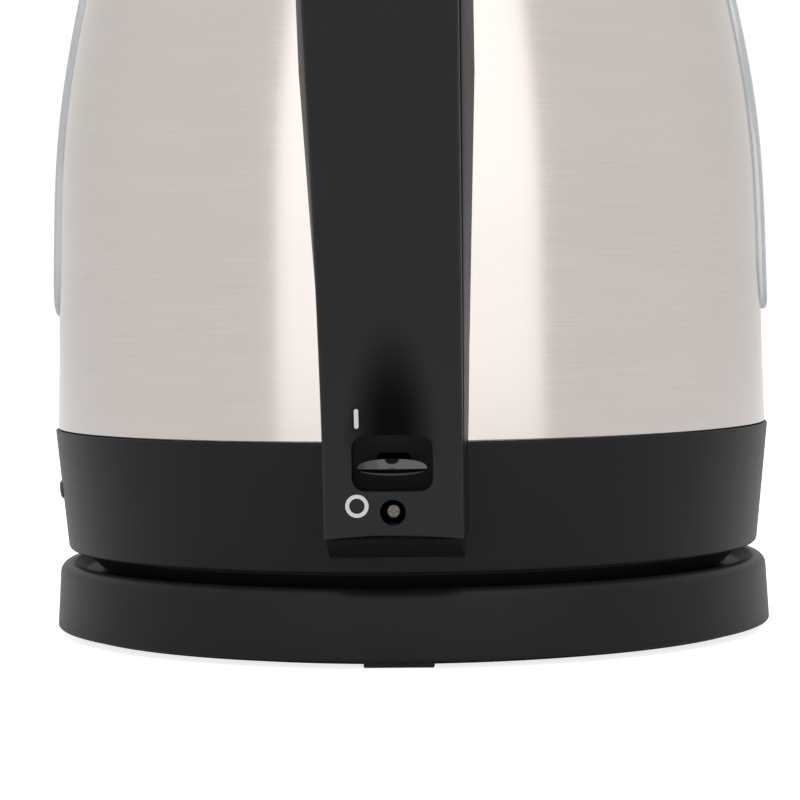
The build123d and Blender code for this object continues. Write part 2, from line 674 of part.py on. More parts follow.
def pilot_lamp():
    """Small glow lamp behind the lens, with its two wires."""
    bulb_r, tip_x = 1.6, -67.2
    lamp = bar_x(bulb_r, tip_x, -61, 0, LENS_Z) + Pos(tip_x, 0, LENS_Z) * Sphere(bulb_r)
    for y in (-0.9, 0.9):
        lamp += bar_x(0.35, -61.5, -54, y, LENS_Z)
    return LENS_TURN * lamp


# ---------------------------------------------------------------- lid
def lid_dome(edge_r, edge_z, crown_z):
    """Arc of the lid's top from its edge to the middle."""
    mid_r = edge_r * 0.52
    mid_z = edge_z + (crown_z - edge_z) * 0.74
    return ThreePointArc((edge_r, edge_z), (mid_r, mid_z), (0, crown_z)).edges()


def lid_cover():
    """Upper shell of the lid with the hinge barrels and the hole for the button."""
    outer_r, inner_r = LID_R, LID_R - SHELL_T
    edges = Line((outer_r, LID_SEAM_Z), (outer_r, 209.6)).edges()
    edges += ThreePointArc((outer_r, 209.6), (51.2, 212.3), (48.2, 213.8)).edges()
    edges += lid_dome(48.2, 213.8, LID_TOP_Z)
    edges += Line((0, LID_TOP_Z), (0, LID_TOP_Z - 2.2)).edges()
    edges += lid_dome(47.0, 211.8, LID_TOP_Z - 2.2)
    edges += Polyline((47.0, 211.8), (inner_r, 209.0), (inner_r, LID_SEAM_Z), (outer_r, LID_SEAM_Z)).edges()
    shell = turned(edges)
    for side in (1, -1):
        x0, x1 = sorted((3.2 * side, 8.4 * side))
        shell += bar_x(3.6, x0, x1, HINGE_Y, HINGE_Z)
        shell += block(x0, x1, HINGE_Y, -49.5, 208.6, 212.6)
    shell -= bar_x(HINGE_PIN_R + RUNNING_FIT, -20, 20, HINGE_Y, HINGE_Z)
    return shell - rod(BUTTON_R + 0.4, 205, 230)


def lid_inlay():
    """Brushed steel plate let on to the dome."""
    edge_r, edge_z = 41.0, 215.45
    edges = lid_dome(edge_r, edge_z, LID_TOP_Z + 0.05)
    edges += Line((0, LID_TOP_Z + 0.05), (0, LID_TOP_Z + 0.75)).edges()
    edges += lid_dome(edge_r, edge_z + 0.7, LID_TOP_Z + 0.75)
    edges += Line((edge_r, edge_z), (edge_r, edge_z + 0.7)).edges()
    plate = turned(edges) - rod(BUTTON_R + 0.9, 205, 230)
    return plate - lid_cover_solid()


def lid_cover_solid():
    """Everything under the lid's outer face, used to seat the inlay."""
    edges = Line((0, 205), (48.2, 205)).edges() + Line((48.2, 205), (48.2, 213.8)).edges()
    edges += lid_dome(48.2, 213.8, LID_TOP_Z) + Line((0, LID_TOP_Z), (0, 205)).edges()
    return turned(edges)


SPRING_X = 7.6
SPRING_LOW, SPRING_HIGH = 203.2, 214.7


def lid_inner():
    """Lower shell of the lid, a plug in the rim with a groove for the seal and posts for the springs."""
    floor_z, plug_r, groove_r, groove = 197.5, 46.4, 45.4, (204.2, 206.2)
    plug = turned_points(
        (0, floor_z), (plug_r - 0.7, floor_z), (plug_r, groove[0]), (groove_r, groove[0]),
        (groove_r, groove[1]), (plug_r, groove[1]), (plug_r, LID_SEAM_Z), (50.0, LID_SEAM_Z),
        (50.0, 208.4), (43.6, 208.4), (43.6, floor_z + 2), (0, floor_z + 2)
    )
    for x in (-SPRING_X, SPRING_X):
        plug += rod(2.6, 199, SPRING_LOW - 0.1, x, 0)
    return plug - block(-4.7, 4.7, 40, 48, 199.9, 203.1)


def lid_seal():
    """Silicone ring in the plug's groove."""
    ring = tube(46.85, 45.45, 204.3, 206.1)
    return fillet(ring.edges().group_by(Axis.Z)[-1].sort_by(SortBy.RADIUS)[-1], 0.4)


def lid_latch():
    """Sliding bolt that the button's wedge draws back."""
    bolt = block(-4.2, 4.2, -12, 46.4, 200.3, 202.4)
    nose = chamfer(bolt.edges().filter_by(Axis.X).group_by(Axis.Y)[-1].sort_by(Axis.Z)[0], 1.2)
    ramp = Polyline((-12, 202), (-4.1, 202), (-4.5, 202.4), (-12, 209.9), close=True)
    return nose + side_cut(ramp.edges(), 4.2)


def lid_button():
    """Round push button in the middle of the lid, with a retaining flange and a wedge."""
    cap = rod(BUTTON_R, SPRING_HIGH + 0.1, 221.6)
    cap = fillet(cap.edges().group_by(Axis.Z)[-1], 1.4)
    cap += rod(12.2, SPRING_HIGH + 0.1, 216.4)
    wedge = Polyline((-7.5, 205.9), (3.5, 205.9), (3.5, 215.5), (-9, 215.5), (-9, 207.4), close=True)
    return cap + side_cut(wedge.edges(), 3.0)


def button_springs():
    """Two coil springs under the button."""
    wire = 0.4
    height = SPRING_HIGH - SPRING_LOW - 2 * wire
    return [Pos(x, 0, SPRING_LOW + wire) * coil(1.9, wire, height, 6) for x in (-SPRING_X, SPRING_X)]


def lid_hinge_pin():
    return bar_x(HINGE_PIN_R, -12.8, 12.8, HINGE_Y, HINGE_Z)


def lid_spring():
    """Torsion spring round the hinge pin."""
    height = 4.6
    return Pos(-height / 2, HINGE_Y, HINGE_Z) * Rot(0, 90, 0) * coil(2.35, 0.4, height, 4)


# ---------------------------------------------------------------- limescale filter
FILTER_R = 50.5
FILTER_LOW, FILTER_HIGH = 171.0, 194.0


def filter_band(r_out, r_in, half, z0, z1):
    """Piece of an upright cylinder in front of the outlet."""
    return tube(r_out, r_in, z0, z1) & block(-half, half, 30, 60, z0, z1)


def filter_frame():
    frame = filter_band(FILTER_R, FILTER_R - 1.6, 16, FILTER_LOW, FILTER_HIGH)
    frame -= block(-13.4, -0.6, 30, 60, FILTER_LOW + 2.6, FILTER_HIGH - 2.6)
    return frame - block(0.6, 13.4, 30, 60, FILTER_LOW + 2.6, FILTER_HIGH - 2.6)


def filter_mesh():
    """Fine mesh in the two windows of the frame, drawn as a sheet with rows of holes."""
    pitch, hole = 2.4, 1.5
    sheet = filter_band(FILTER_R - 0.6, FILTER_R - 1.0, 13.35, FILTER_LOW + 2.65, FILTER_HIGH - 2.65)
    sheet -= block(-0.65, 0.65, 30, 60, FILTER_LOW, FILTER_HIGH)
    holes = Plane.XZ * Pos(0, (FILTER_LOW + FILTER_HIGH) / 2) * GridLocations(pitch, pitch, 10, 7)
    cutters = [location * Box(hole, hole, 140) for location in holes]
    return sheet - cutters


# ---------------------------------------------------------------- all nodes
NODES = {
    "base_cover": base_cover,
    "base_bottom_plate": base_bottom_plate,
    "foot_ring": foot_ring,
    "base_screws": base_screws,
    "base_socket": base_socket,
    "base_contacts": base_contacts,
    "base_leads": base_leads,
    "cord_inlet": cord_inlet,
    "cord_clamp": cord_clamp,
    "clamp_screws": clamp_screws,
    "socket_shutter": socket_shutter,
    "steel_body": steel_body,
    "spout": spout,
    "rim_ring": rim_ring,
    "heater_plate": heater_plate,
    "heat_diffuser": heat_diffuser,
    "heating_element": heating_element,
    "safety_discs": safety_discs,
    "control_unit": control_unit,
    "control_contacts": control_contacts,
    "collar": collar,
    "bottom_cover": bottom_cover,
    "bottom_screws": bottom_screws,
    "window_left": lambda: water_window(-1),
    "window_right": lambda: water_window(1),
    "window_seal_left": lambda: window_seal(-1),
    "window_seal_right": lambda: window_seal(1),
    "handle_cover": handle_cover,
    "handle_inner": handle_inner,
    "handle_screws": handle_screws,
    "steam_tube": steam_tube,
    "steam_switch": steam_switch,
    "steam_disc": steam_disc,
    "trip_lever": trip_lever,
    "trip_pin": trip_pin,
    "switch_lever": switch_lever,
    "switch_pin": switch_pin,
    "switch_bracket": switch_bracket,
    "switch_leads": switch_leads,
    "pilot_lens": pilot_lens,
    "pilot_lamp": pilot_lamp,
    "lid_hinge_pin": lid_hinge_pin,
    "lid_spring": lid_spring,
    "lid_cover": lid_cover,
    "lid_inlay": lid_inlay,
    "lid_inner": lid_inner,
    "lid_seal": lid_seal,
    "lid_button": lid_button,
    "button_springs": button_springs,
    "lid_latch": lid_latch,
    "filter_frame": filter_frame,
    "filter_mesh": filter_mesh,
}

for node, make in NODES.items():
    made = make()
    if isinstance(made, list):
        made = Compound(children=[solid for piece in made for solid in piece.solids()])
    write(made, node)
    print(f"{node:20s} {len(made.solids()):3d} solids {made.volume:10.1f} mm3")
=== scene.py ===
"""Electric kettle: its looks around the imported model. Geometry is in millimetres and built in metres."""

import json
from math import acos, atan2, copysign, cos, hypot, pi, radians, sin, sqrt, tan

import bmesh
import bpy
import numpy as np
from mathutils import Matrix, Vector


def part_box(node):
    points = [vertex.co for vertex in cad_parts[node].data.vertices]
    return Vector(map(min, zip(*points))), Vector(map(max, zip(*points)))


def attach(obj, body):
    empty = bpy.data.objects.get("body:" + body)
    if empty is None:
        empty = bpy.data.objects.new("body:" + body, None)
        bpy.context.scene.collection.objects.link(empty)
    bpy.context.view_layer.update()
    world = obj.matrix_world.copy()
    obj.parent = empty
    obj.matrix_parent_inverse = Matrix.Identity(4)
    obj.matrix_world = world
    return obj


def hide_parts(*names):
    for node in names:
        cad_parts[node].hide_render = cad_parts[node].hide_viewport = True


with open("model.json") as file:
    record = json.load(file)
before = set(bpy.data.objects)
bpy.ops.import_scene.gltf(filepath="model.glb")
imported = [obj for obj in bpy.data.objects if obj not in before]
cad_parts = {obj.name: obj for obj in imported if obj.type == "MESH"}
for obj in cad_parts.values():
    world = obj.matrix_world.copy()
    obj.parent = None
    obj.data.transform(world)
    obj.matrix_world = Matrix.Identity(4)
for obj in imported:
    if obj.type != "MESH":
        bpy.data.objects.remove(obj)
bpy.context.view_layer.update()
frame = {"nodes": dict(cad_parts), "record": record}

bl_info = {
    "name": "Electric kettle",
    "version": (1, 0, 0),
    "blender": (4, 5, 0),
    "location": "3D View > Sidebar > Kettle",
    "description": "Builds the visible pieces of a cordless steel kettle",
    "category": "Add Mesh",
}

MM = 0.001


# ------------------------------------------------------------------ colours
def linear(code):
    """Linear colour with alpha from an sRGB hex code."""
    channels = [int(code[i:i + 2], 16) / 255 for i in (1, 3, 5)]
    return tuple(c / 12.92 if c <= 0.04045 else ((c + 0.055) / 1.055) ** 2.4 for c in channels) + (1.0,)


def box_mm(node):
    """Lowest and highest corner of a CAD node in millimetres."""
    low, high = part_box(node)
    return low / MM, high / MM


def middle_mm(node):
    """Middle of a CAD node's box in millimetres."""
    return tuple((a + b) / 2 for a, b in zip(*box_mm(node)))


# ------------------------------------------------------------------ sizes taken from the frame
SKIRT_R = box_mm("base_cover")[1].x
SKIRT_Z = box_mm("base_cover")[0].z
RIM_Z = box_mm("base_cover")[1].z
COLLAR_Z = box_mm("collar")[0].z
SEAM_Z = box_mm("collar")[1].z + 0.1
COLLAR_R = box_mm("collar")[1].x
BODY_TOP_Z = box_mm("steel_body")[1].z
_, HINGE_Y, HINGE_Z = middle_mm("lid_hinge_pin")
_, PIVOT_Y, PIVOT_Z = middle_mm("switch_pin")
LID_R = box_mm("lid_cover")[1].x
LID_LOW = box_mm("lid_cover")[0].z
LENS_Z = middle_mm("pilot_lens")[2]
INLET_Z = middle_mm("cord_inlet")[2]
INLET_R = box_mm("cord_inlet")[1].x
# The window's flange reaches behind the wall by this much, round the opening
WINDOW_FLANGE = 4.0
WINDOW_LOW = box_mm("window_right")[0].z + WINDOW_FLANGE
WINDOW_HIGH = box_mm("window_right")[1].z - WINDOW_FLANGE

# ------------------------------------------------------------------ sizes of the design
# (radius, height) of the steel up the belly, above which a straight cone leads to the top
BELLY = [(74.7, 43.1), (73.8, 76.6), (72.7, 101.6), (69.9, 121.6), (65.7, 141.6)]
BODY_TOP_R = 53.4
STEEL_T = 0.8
COLLAR_LOW_R = 72.9
SHELL_T = 2.4
# (distance from the axis, height) along the handle's outside and inside, from the hinge down to the foot
HANDLE_OUTER = [(62.6, 218.0), (90.0, 219.3), (111.0, 212.5), (124.0, 198.0), (128.5, 176.0),
                (126.3, 150.0), (118.0, 121.0), (107.0, 94.0), (97.0, 67.0), (91.6, 44.0), (89.4, 25.9)]
HANDLE_INNER = [(62.6, 198.5), (79.0, 199.0), (92.5, 195.0), (100.5, 185.0), (103.0, 169.0),
                (101.0, 149.0), (94.5, 124.0), (84.5, 98.0), (76.5, 77.0), (70.5, 62.0), (70.0, 42.0),
                (71.0, 25.6)]
# Half widths of cover and inner shell, at the foot and at the grip
COVER_HALF = (13.0, 13.8)
PARTING_HALF = (13.15, 14.1)
BACK_HALF = (13.6, 16.35)
# Heights between which the handle widens
FOOT_END_Z, GRIP_Z = 45.0, 125.0
COVER_DEPTH = 6.5
COVER_SIDE_T = SHELL_T * 0.7
FOOT_Z, FOOT_HALF, FOOT_BACK = 21.3, 12.4, 71.8
# Thumb scoop above the switch window
SCOOP_TOP, SCOOP_BOTTOM = 67.0, 44.0
SWITCH_WINDOW = (15.0, 10.3)
SWITCH_WINDOW_Z = 40.05
SWITCH_CORNER_R = 2.4
LEVER_Z = 39.7
SCREW_HOLE_Z, SCREW_HOLE_R = 31.0, 2.4
WINDOW_W = 17.8
HEATER_Z = 45.0
LENS_SIZE = (9.0, 3.6)
LENS_TURN = radians(8)


# ------------------------------------------------------------------ user settings
class KettleSizes(bpy.types.PropertyGroup):
    """Sizes of the visible detail, in millimetres."""
    cover_edge: bpy.props.FloatProperty(
        name="Cover edge radius", description="Rounding along both edges of the handle cover, mm",
        default=1.6, min=0.4, max=4.0)
    cover_crown: bpy.props.FloatProperty(
        name="Cover crown", description="Rise of the handle cover's face between its edges, mm",
        default=0.35, min=0.0, max=2.0)
    scoop_depth: bpy.props.FloatProperty(
        name="Thumb scoop depth", description="Depth of the hollow above the switch window, mm",
        default=3.4, min=0.0, max=5.0)
    grain_pitch: bpy.props.FloatProperty(
        name="Brush pitch",
        description="Spacing of the brush lines, mm, coarser than the real 0.1 so that it shows",
        default=0.32, min=0.1, max=1.0)
    parting_gap: bpy.props.FloatProperty(
        name="Parting gap", description="Gap between handle cover and inner shell, mm",
        default=0.25, min=0.05, max=0.6)


class KettleColours(bpy.types.PropertyGroup):
    """Colours of the finishes."""
    housing: bpy.props.FloatVectorProperty(
        name="Housing", description="Moulded black plastic of handle, collar and base",
        subtype="COLOR", size=4, min=0, max=1, default=linear("#17171A"))
    steel: bpy.props.FloatVectorProperty(
        name="Steel", description="Brushed stainless steel of the jug",
        subtype="COLOR", size=4, min=0, max=1, default=linear("#CDC8C6"))
    marks: bpy.props.FloatVectorProperty(
        name="Marks", description="Printed on and off marks",
        subtype="COLOR", size=4, min=0, max=1, default=linear("#B9B9BD"))
    window: bpy.props.FloatVectorProperty(
        name="Water window", description="Tint of the water windows",
        subtype="COLOR", size=4, min=0, max=1, default=linear("#E6EAEE"))


def sizes():
    """The sizes that the user has set."""
    return bpy.context.scene.kettle_sizes


def colours():
    """The colours that the user has set."""
    return bpy.context.scene.kettle_colours


# ------------------------------------------------------------------ curves
def cubic(values, places, slopes=(None, None)):
    """Piecewise cubic through values at places, smooth in curvature. Returns a function of place."""
    n = len(values)
    matrix, right = np.zeros((n, n)), np.zeros(n)
    step = np.diff(places)
    rise = np.diff(values) / step
    for end, near, side in ((0, 1, 0), (n - 1, n - 2, -1)):
        if slopes[side] is None:
            matrix[end, end], matrix[end, near], right[end] = 2, 1, 3 * rise[side]
        else:
            matrix[end, end], right[end] = 1, slopes[side]
    for i in range(1, n - 1):
        matrix[i, i - 1:i + 2] = step[i], 2 * (step[i - 1] + step[i]), step[i - 1]
        right[i] = 3 * (rise[i - 1] * step[i] + rise[i] * step[i - 1])
    slope = np.linalg.solve(matrix, right)

    def at(place):
        i = int(np.clip(np.searchsorted(places, place) - 1, 0, n - 2))
        t = (place - places[i]) / step[i]
        a = values[i] * (1 + 2 * t) * (1 - t) ** 2 + values[i + 1] * t * t * (3 - 2 * t)
        return a + step[i] * (slope[i] * t * (1 - t) ** 2 + slope[i + 1] * t * t * (t - 1))
    return at


belly_curve = cubic([r for r, z in BELLY], [z for r, z in BELLY], (-0.02, -0.21))


def steel_radius(z):
    """Outer radius of the steel at a height."""
    last_r, last_z = BELLY[-1]
    if z <= last_z:
        return belly_curve(max(z, BELLY[0][1]))
    return last_r + (BODY_TOP_R - last_r) * (z - last_z) / (BODY_TOP_Z - last_z)


def envelope_radius(z):
    """Outer radius of collar or steel at a height."""
    if z >= SEAM_Z:
        return steel_radius(z)
    return COLLAR_LOW_R + (COLLAR_R - COLLAR_LOW_R) * (z - COLLAR_Z - 0.9) / (SEAM_Z - COLLAR_Z - 1)


def along(points, count):
    """Evenly spaced points and unit directions on a smooth curve through the points."""
    points = np.array(points, float)
    lengths = np.concatenate([[0], np.cumsum(np.hypot(*np.diff(points, axis=0).T))])
    curves = [cubic(points[:, k], lengths) for k in (0, 1)]
    fine = np.array([[c(s) for c in curves] for s in np.linspace(0, lengths[-1], 1200)])
    run = np.concatenate([[0], np.cumsum(np.hypot(*np.diff(fine, axis=0).T))])
    wanted = np.linspace(0, run[-1], count)
    out = np.stack([np.interp(wanted, run, fine[:, k]) for k in (0, 1)], 1)
    direction = np.gradient(out, axis=0)
    return out, direction / np.hypot(*direction.T)[:, None]


def rounded(points, segments=5):
    """Closed outline from (a, b, radius) corners, with an arc at each corner that has a radius."""
    outline, n = [], len(points)
    for i, (a, b, radius) in enumerate(points):
        here = np.array([a, b], float)
        if radius <= 0:
            outline.append(tuple(here))
            continue
        before = np.array(points[i - 1][:2], float) - here
        after = np.array(points[(i + 1) % n][:2], float) - here
        before, after = before / np.hypot(*before), after / np.hypot(*after)
        half = acos(float(np.clip(before @ after, -1, 1))) / 2
        reach = radius / tan(half)
        middle = (before + after) / np.hypot(*(before + after)) * radius / sin(half)
        start, end = before * reach - middle, after * reach - middle
        turn = atan2(start[0] * end[1] - start[1] * end[0], start @ end)
        for k in range(segments + 1):
            angle = turn * k / segments
            x = start[0] * cos(angle) - start[1] * sin(angle)
            y = start[0] * sin(angle) + start[1] * cos(angle)
            outline.append((here[0] + middle[0] + x, here[1] + middle[1] + y))
    return outline


def lens_turned(x, y, z):
    """A place beside -X, turned to where the pilot light is."""
    return x * cos(LENS_TURN) - y * sin(LENS_TURN), x * sin(LENS_TURN) + y * cos(LENS_TURN), z


def slot_outline(half_width, low, high, arc=16, straight=48):
    """Closed upright slot outline with round ends, anticlockwise, the same number of points for any size."""
    half_width = max(half_width, 0.02)
    low_c, high_c = low + half_width, high - half_width
    outline = [(half_width * cos(a), low_c + half_width * sin(a)) for a in np.linspace(-pi, 0, arc)]
    outline += [(half_width, z) for z in np.linspace(low_c, high_c, straight)[1:-1]]
    outline += [(half_width * cos(a), high_c + half_width * sin(a)) for a in np.linspace(0, pi, arc)]
    return outline + [(-half_width, z) for z in np.linspace(high_c, low_c, straight)[1:-1]]


def rectangle_outline(width, height, radius, segments=6):
    """Closed rounded rectangle about the origin."""
    x, y = width / 2, height / 2
    return rounded([(-x, -y, radius), (x, -y, radius), (x, y, radius), (-x, y, radius)], segments)


def with_straights(loop, count=10):
    """A rounded rectangle's outline with more points along its straight sides, to follow a curved face."""
    corner, outline = len(loop) // 4, []
    for i, (x, y) in enumerate(loop):
        outline.append((x, y))
        if (i + 1) % corner == 0:
            to_x, to_y = loop[(i + 1) % len(loop)]
            outline += [(x + (to_x - x) * k / count, y + (to_y - y) * k / count) for k in range(1, count)]
    return outline


# ------------------------------------------------------------------ meshes
WELD_MM = 0.0001


def new_piece(name, points, faces, sharp=35):
    """Mesh object from points in millimetres, welded, faces turned outward and smooth between edges."""
    mesh = bpy.data.meshes.new(name)
    mesh.from_pydata([tuple(MM * float(c) for c in p) for p in points], [], faces)
    mesh.validate()
    piece = bpy.data.objects.new(name, mesh)
    bpy.context.scene.collection.objects.link(piece)
    work = bmesh.new()
    work.from_mesh(mesh)
    bmesh.ops.remove_doubles(work, verts=work.verts, dist=WELD_MM * MM)
    bmesh.ops.recalc_face_normals(work, faces=work.faces)
    work.to_mesh(mesh)
    work.free()
    shade(mesh, sharp)
    return piece


def shade(mesh, sharp):
    """Smooth shading, apart from edges sharper than the angle in degrees."""
    mesh.shade_smooth()
    mesh.set_sharp_from_angle(angle=radians(sharp))


def skin(rings, wrap=False):
    """Points and faces over closed loops of equal length. wrap joins the last to the first, without caps."""
    count, size = len(rings), len(rings[0])
    points = [p for ring in rings for p in ring]
    faces = []
    for i in range(count if wrap else count - 1):
        j = (i + 1) % count
        for k in range(size):
            m = (k + 1) % size
            faces.append((i * size + k, i * size + m, j * size + m, j * size + k))
    if not wrap:
        faces.append(tuple(range(size)))
        faces.append(tuple((count - 1) * size + k for k in range(size)))
    return points, faces


def lathe(outline, segments=240):
    """Points and faces of a closed (radius, height) outline turned about the kettle's axis."""
    rings = []
    for k in range(segments):
        a = 2 * pi * k / segments
        rings.append([(r * sin(a), -r * cos(a), z) for r, z in outline])
    return skin(rings, wrap=True)


def prism(outline, place, depth):
    """Points and faces of an outline pushed along. place turns (a, b, t) into a point."""
    return skin([[place(a, b, t) for a, b in outline] for t in depth])


def merged(*parts):
    """One set of points and faces out of several."""
    points, faces = [], []
    for part_points, part_faces in parts:
        start = len(points)
        points += part_points
        faces += [tuple(start + i for i in face) for face in part_faces]
    return points, faces


def rod_between(start, end, radius, edge=0.3, segments=32):
    """Points and faces of a round bar with eased edges between two points."""
    start, end = Vector(start), Vector(end)
    axis = (end - start).normalized()
    side = axis.orthogonal().normalized()
    other = axis.cross(side)
    length = (end - start).length
    rings = []
    for t, r in ((0, radius - edge), (edge, radius), (length - edge, radius), (length, radius - edge)):
        centre = start + axis * t
        rings.append([
            tuple(centre + (side * cos(a) + other * sin(a)) * r)
            for a in np.linspace(0, 2 * pi, segments, endpoint=False)
        ])
    return skin(rings)


def eased_block(low, high, edge=0.4):
    """Points and faces of a block with eased edges, low and high being opposite corners."""
    (x0, y0, z0), (x1, y1, z1) = low, high
    rings = []
    for z, inset in ((z0, edge), (z0 + edge, 0), (z1 - edge, 0), (z1, edge)):
        width, depth = x1 - x0 - 2 * inset, y1 - y0 - 2 * inset
        loop = rectangle_outline(width, depth, edge, 3)
        rings.append([((x0 + x1) / 2 + a, (y0 + y1) / 2 + b, z) for a, b in loop])
    return skin(rings)


def cut(piece, points_faces, sharp=35):
    """Takes a closed shape out of a piece."""
    tool = new_piece("cutter", *points_faces)
    change = piece.modifiers.new("cut", "BOOLEAN")
    change.operation = "DIFFERENCE"
    change.object = tool
    change.solver = "EXACT"
    bpy.context.view_layer.update()
    made = bpy.data.meshes.new_from_object(piece.evaluated_get(bpy.context.evaluated_depsgraph_get()))
    piece.modifiers.clear()
    piece.data = made
    bpy.data.objects.remove(tool)
    shade(made, sharp)
    if not len(made.polygons):
        raise RuntimeError(f"cutting {piece.name} left nothing")


def place_piece(piece, body, slot, material, *nodes):
    """Gives a piece its material and body, and hides the CAD nodes that it stands for. The slot is not used."""
    piece.data.materials.clear()
    piece.data.materials.append(material)
    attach(piece, body)
    if nodes:
        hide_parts(*nodes)


# ------------------------------------------------------------------ material tools
def add(tree, kind, links=None, **settings):
    """Adds a node. links maps an input to a socket that feeds it or to its plain value."""
    made = tree.nodes.new(kind)
    for name, value in settings.items():
        setattr(made, name, value)
    for name, value in (links or {}).items():
        if isinstance(value, bpy.types.NodeSocket):
            tree.links.new(value, made.inputs[name])
        else:
            made.inputs[name].default_value = value
    return made


def start_material(name, **shader):
    """Material with a Principled shader whose sockets are set by their names with underscores."""
    found = bpy.data.materials.new(name)
    found.use_nodes = True
    surface = found.node_tree.nodes["Principled BSDF"]
    for key, value in shader.items():
        surface.inputs[key.replace("_", " ")].default_value = value
    return found, found.node_tree, surface


def tinted(colour, share):
    """A colour with its channels scaled by a share."""
    return tuple(min(1, c * share) for c in colour[:3]) + (1,)


def made_once(build):
    """Builds a material the first time that it is asked for and gives the same one after that."""
    kept = {}

    def get(*args):
        if args not in kept:
            kept[args] = build(*args)
        return kept[args]
    return get


CLOUD_MM = 25.0


def speckle(tree, surface, colour, grain_mm, change, rough, height_mm):
    """Fine texture: uneven gloss and a low bump at the grain's size, with faint broad clouds of colour."""
    where = add(tree, "ShaderNodeTexCoord")
    grain = add(tree, "ShaderNodeTexNoise", {
        "Vector": where.outputs["Object"], "Scale": 1 / (grain_mm * MM), "Detail": 3.0, "Roughness": 0.6})
    broad = add(tree, "ShaderNodeTexNoise", {
        "Vector": where.outputs["Object"], "Scale": 1 / (CLOUD_MM * MM), "Detail": 4.0})
    darker, lighter = tinted(colour, 1 - change), tinted(colour, 1 + change)
    mix = add(tree, "ShaderNodeMix", {
        "Factor": broad.outputs["Fac"], 6: darker, 7: lighter}, data_type="RGBA")
    gloss = add(tree, "ShaderNodeMapRange", {
        "Value": grain.outputs["Fac"], "From Min": 0.3, "From Max": 0.7,
        "To Min": rough[0], "To Max": rough[1]})
    bump = add(tree, "ShaderNodeBump", {
        "Height": grain.outputs["Fac"], "Strength": 0.5, "Distance": height_mm * MM})
    tree.links.new(mix.outputs[2], surface.inputs["Base Color"])
    tree.links.new(gloss.outputs["Result"], surface.inputs["Roughness"])
    tree.links.new(bump.outputs["Normal"], surface.inputs["Normal"])


# ------------------------------------------------------------------ materials
@made_once
def moulded_polypropylene():
    """Black polypropylene from a lightly spark-eroded mould: even, deep grey-black with a soft sheen."""
    made, tree, surface = start_material("moulded_black_polypropylene", IOR=1.49, Specular_IOR_Level=0.14)
    speckle(tree, surface, tuple(colours().housing), 0.45, 0.06, (0.36, 0.44), 0.003)
    return made


@made_once
def polypropylene_with_painted_scoop_shade():
    """The same plastic with painted shade in its thumb scoop: the colour darkens to near black in the hollow
    above the window.
    """
    made, tree, surface = start_material("black_polypropylene_with_painted_scoop_shade", IOR=1.49, Specular_IOR_Level=0.06)
    speckle(tree, surface, linear("#272729"), 0.45, 0.06, (0.36, 0.44), 0.003)
    # Painted shade: the colour is darkest at the middle of the hollow, fades over these lengths and stops above
    # the window
    middle, reach = (0, -91.5 * MM, 44.5 * MM), (9.6 * MM, 30 * MM, 26 * MM)
    stop, full = 36 * MM, 42 * MM
    where = add(tree, "ShaderNodeTexCoord")
    part = add(tree, "ShaderNodeSeparateXYZ", {"Vector": where.outputs["Object"]})
    ball = add(tree, "ShaderNodeMapping", {
        "Vector": where.outputs["Object"], "Location": middle, "Scale": reach}, vector_type="TEXTURE")
    near = add(tree, "ShaderNodeTexGradient", {"Vector": ball.outputs[0]}, gradient_type="SPHERICAL")
    above = add(tree, "ShaderNodeMapRange", {"Value": part.outputs["Z"], "From Min": stop, "From Max": full})
    both = add(tree, "ShaderNodeMath", {
        0: near.outputs["Fac"], 1: above.outputs["Result"]}, operation="MULTIPLY")
    share = add(tree, "ShaderNodeMapRange", {
        "Value": both.outputs[0], "From Min": 0.0, "From Max": 0.8}, interpolation_type="SMOOTHSTEP")
    colour = surface.inputs["Base Color"].links[0].from_socket
    # Painted shade: the colour is mixed towards near black inside the hollow
    mix = add(tree, "ShaderNodeMix", {
        "Factor": share.outputs["Result"], 6: colour, 7: linear("#010101")}, data_type="RGBA")
    tree.links.new(mix.outputs[2], surface.inputs["Base Color"])
    return made


@made_once
def polished_abs():
    """Black ABS from a polished mould: wet-looking, with sharp highlights."""
    made, tree, surface = start_material("polished_black_abs", IOR=1.53)
    speckle(tree, surface, linear("#0B0B0C"), 3.0, 0.1, (0.07, 0.12), 0.001)
    return made


@made_once
def glass_filled_nylon():
    """Dark grey nylon with glass fibre: dull and slightly mottled."""
    made, tree, surface = start_material("glass_filled_nylon", IOR=1.53)
    speckle(tree, surface, linear("#38383A"), 0.6, 0.12, (0.5, 0.65), 0.006)
    return made


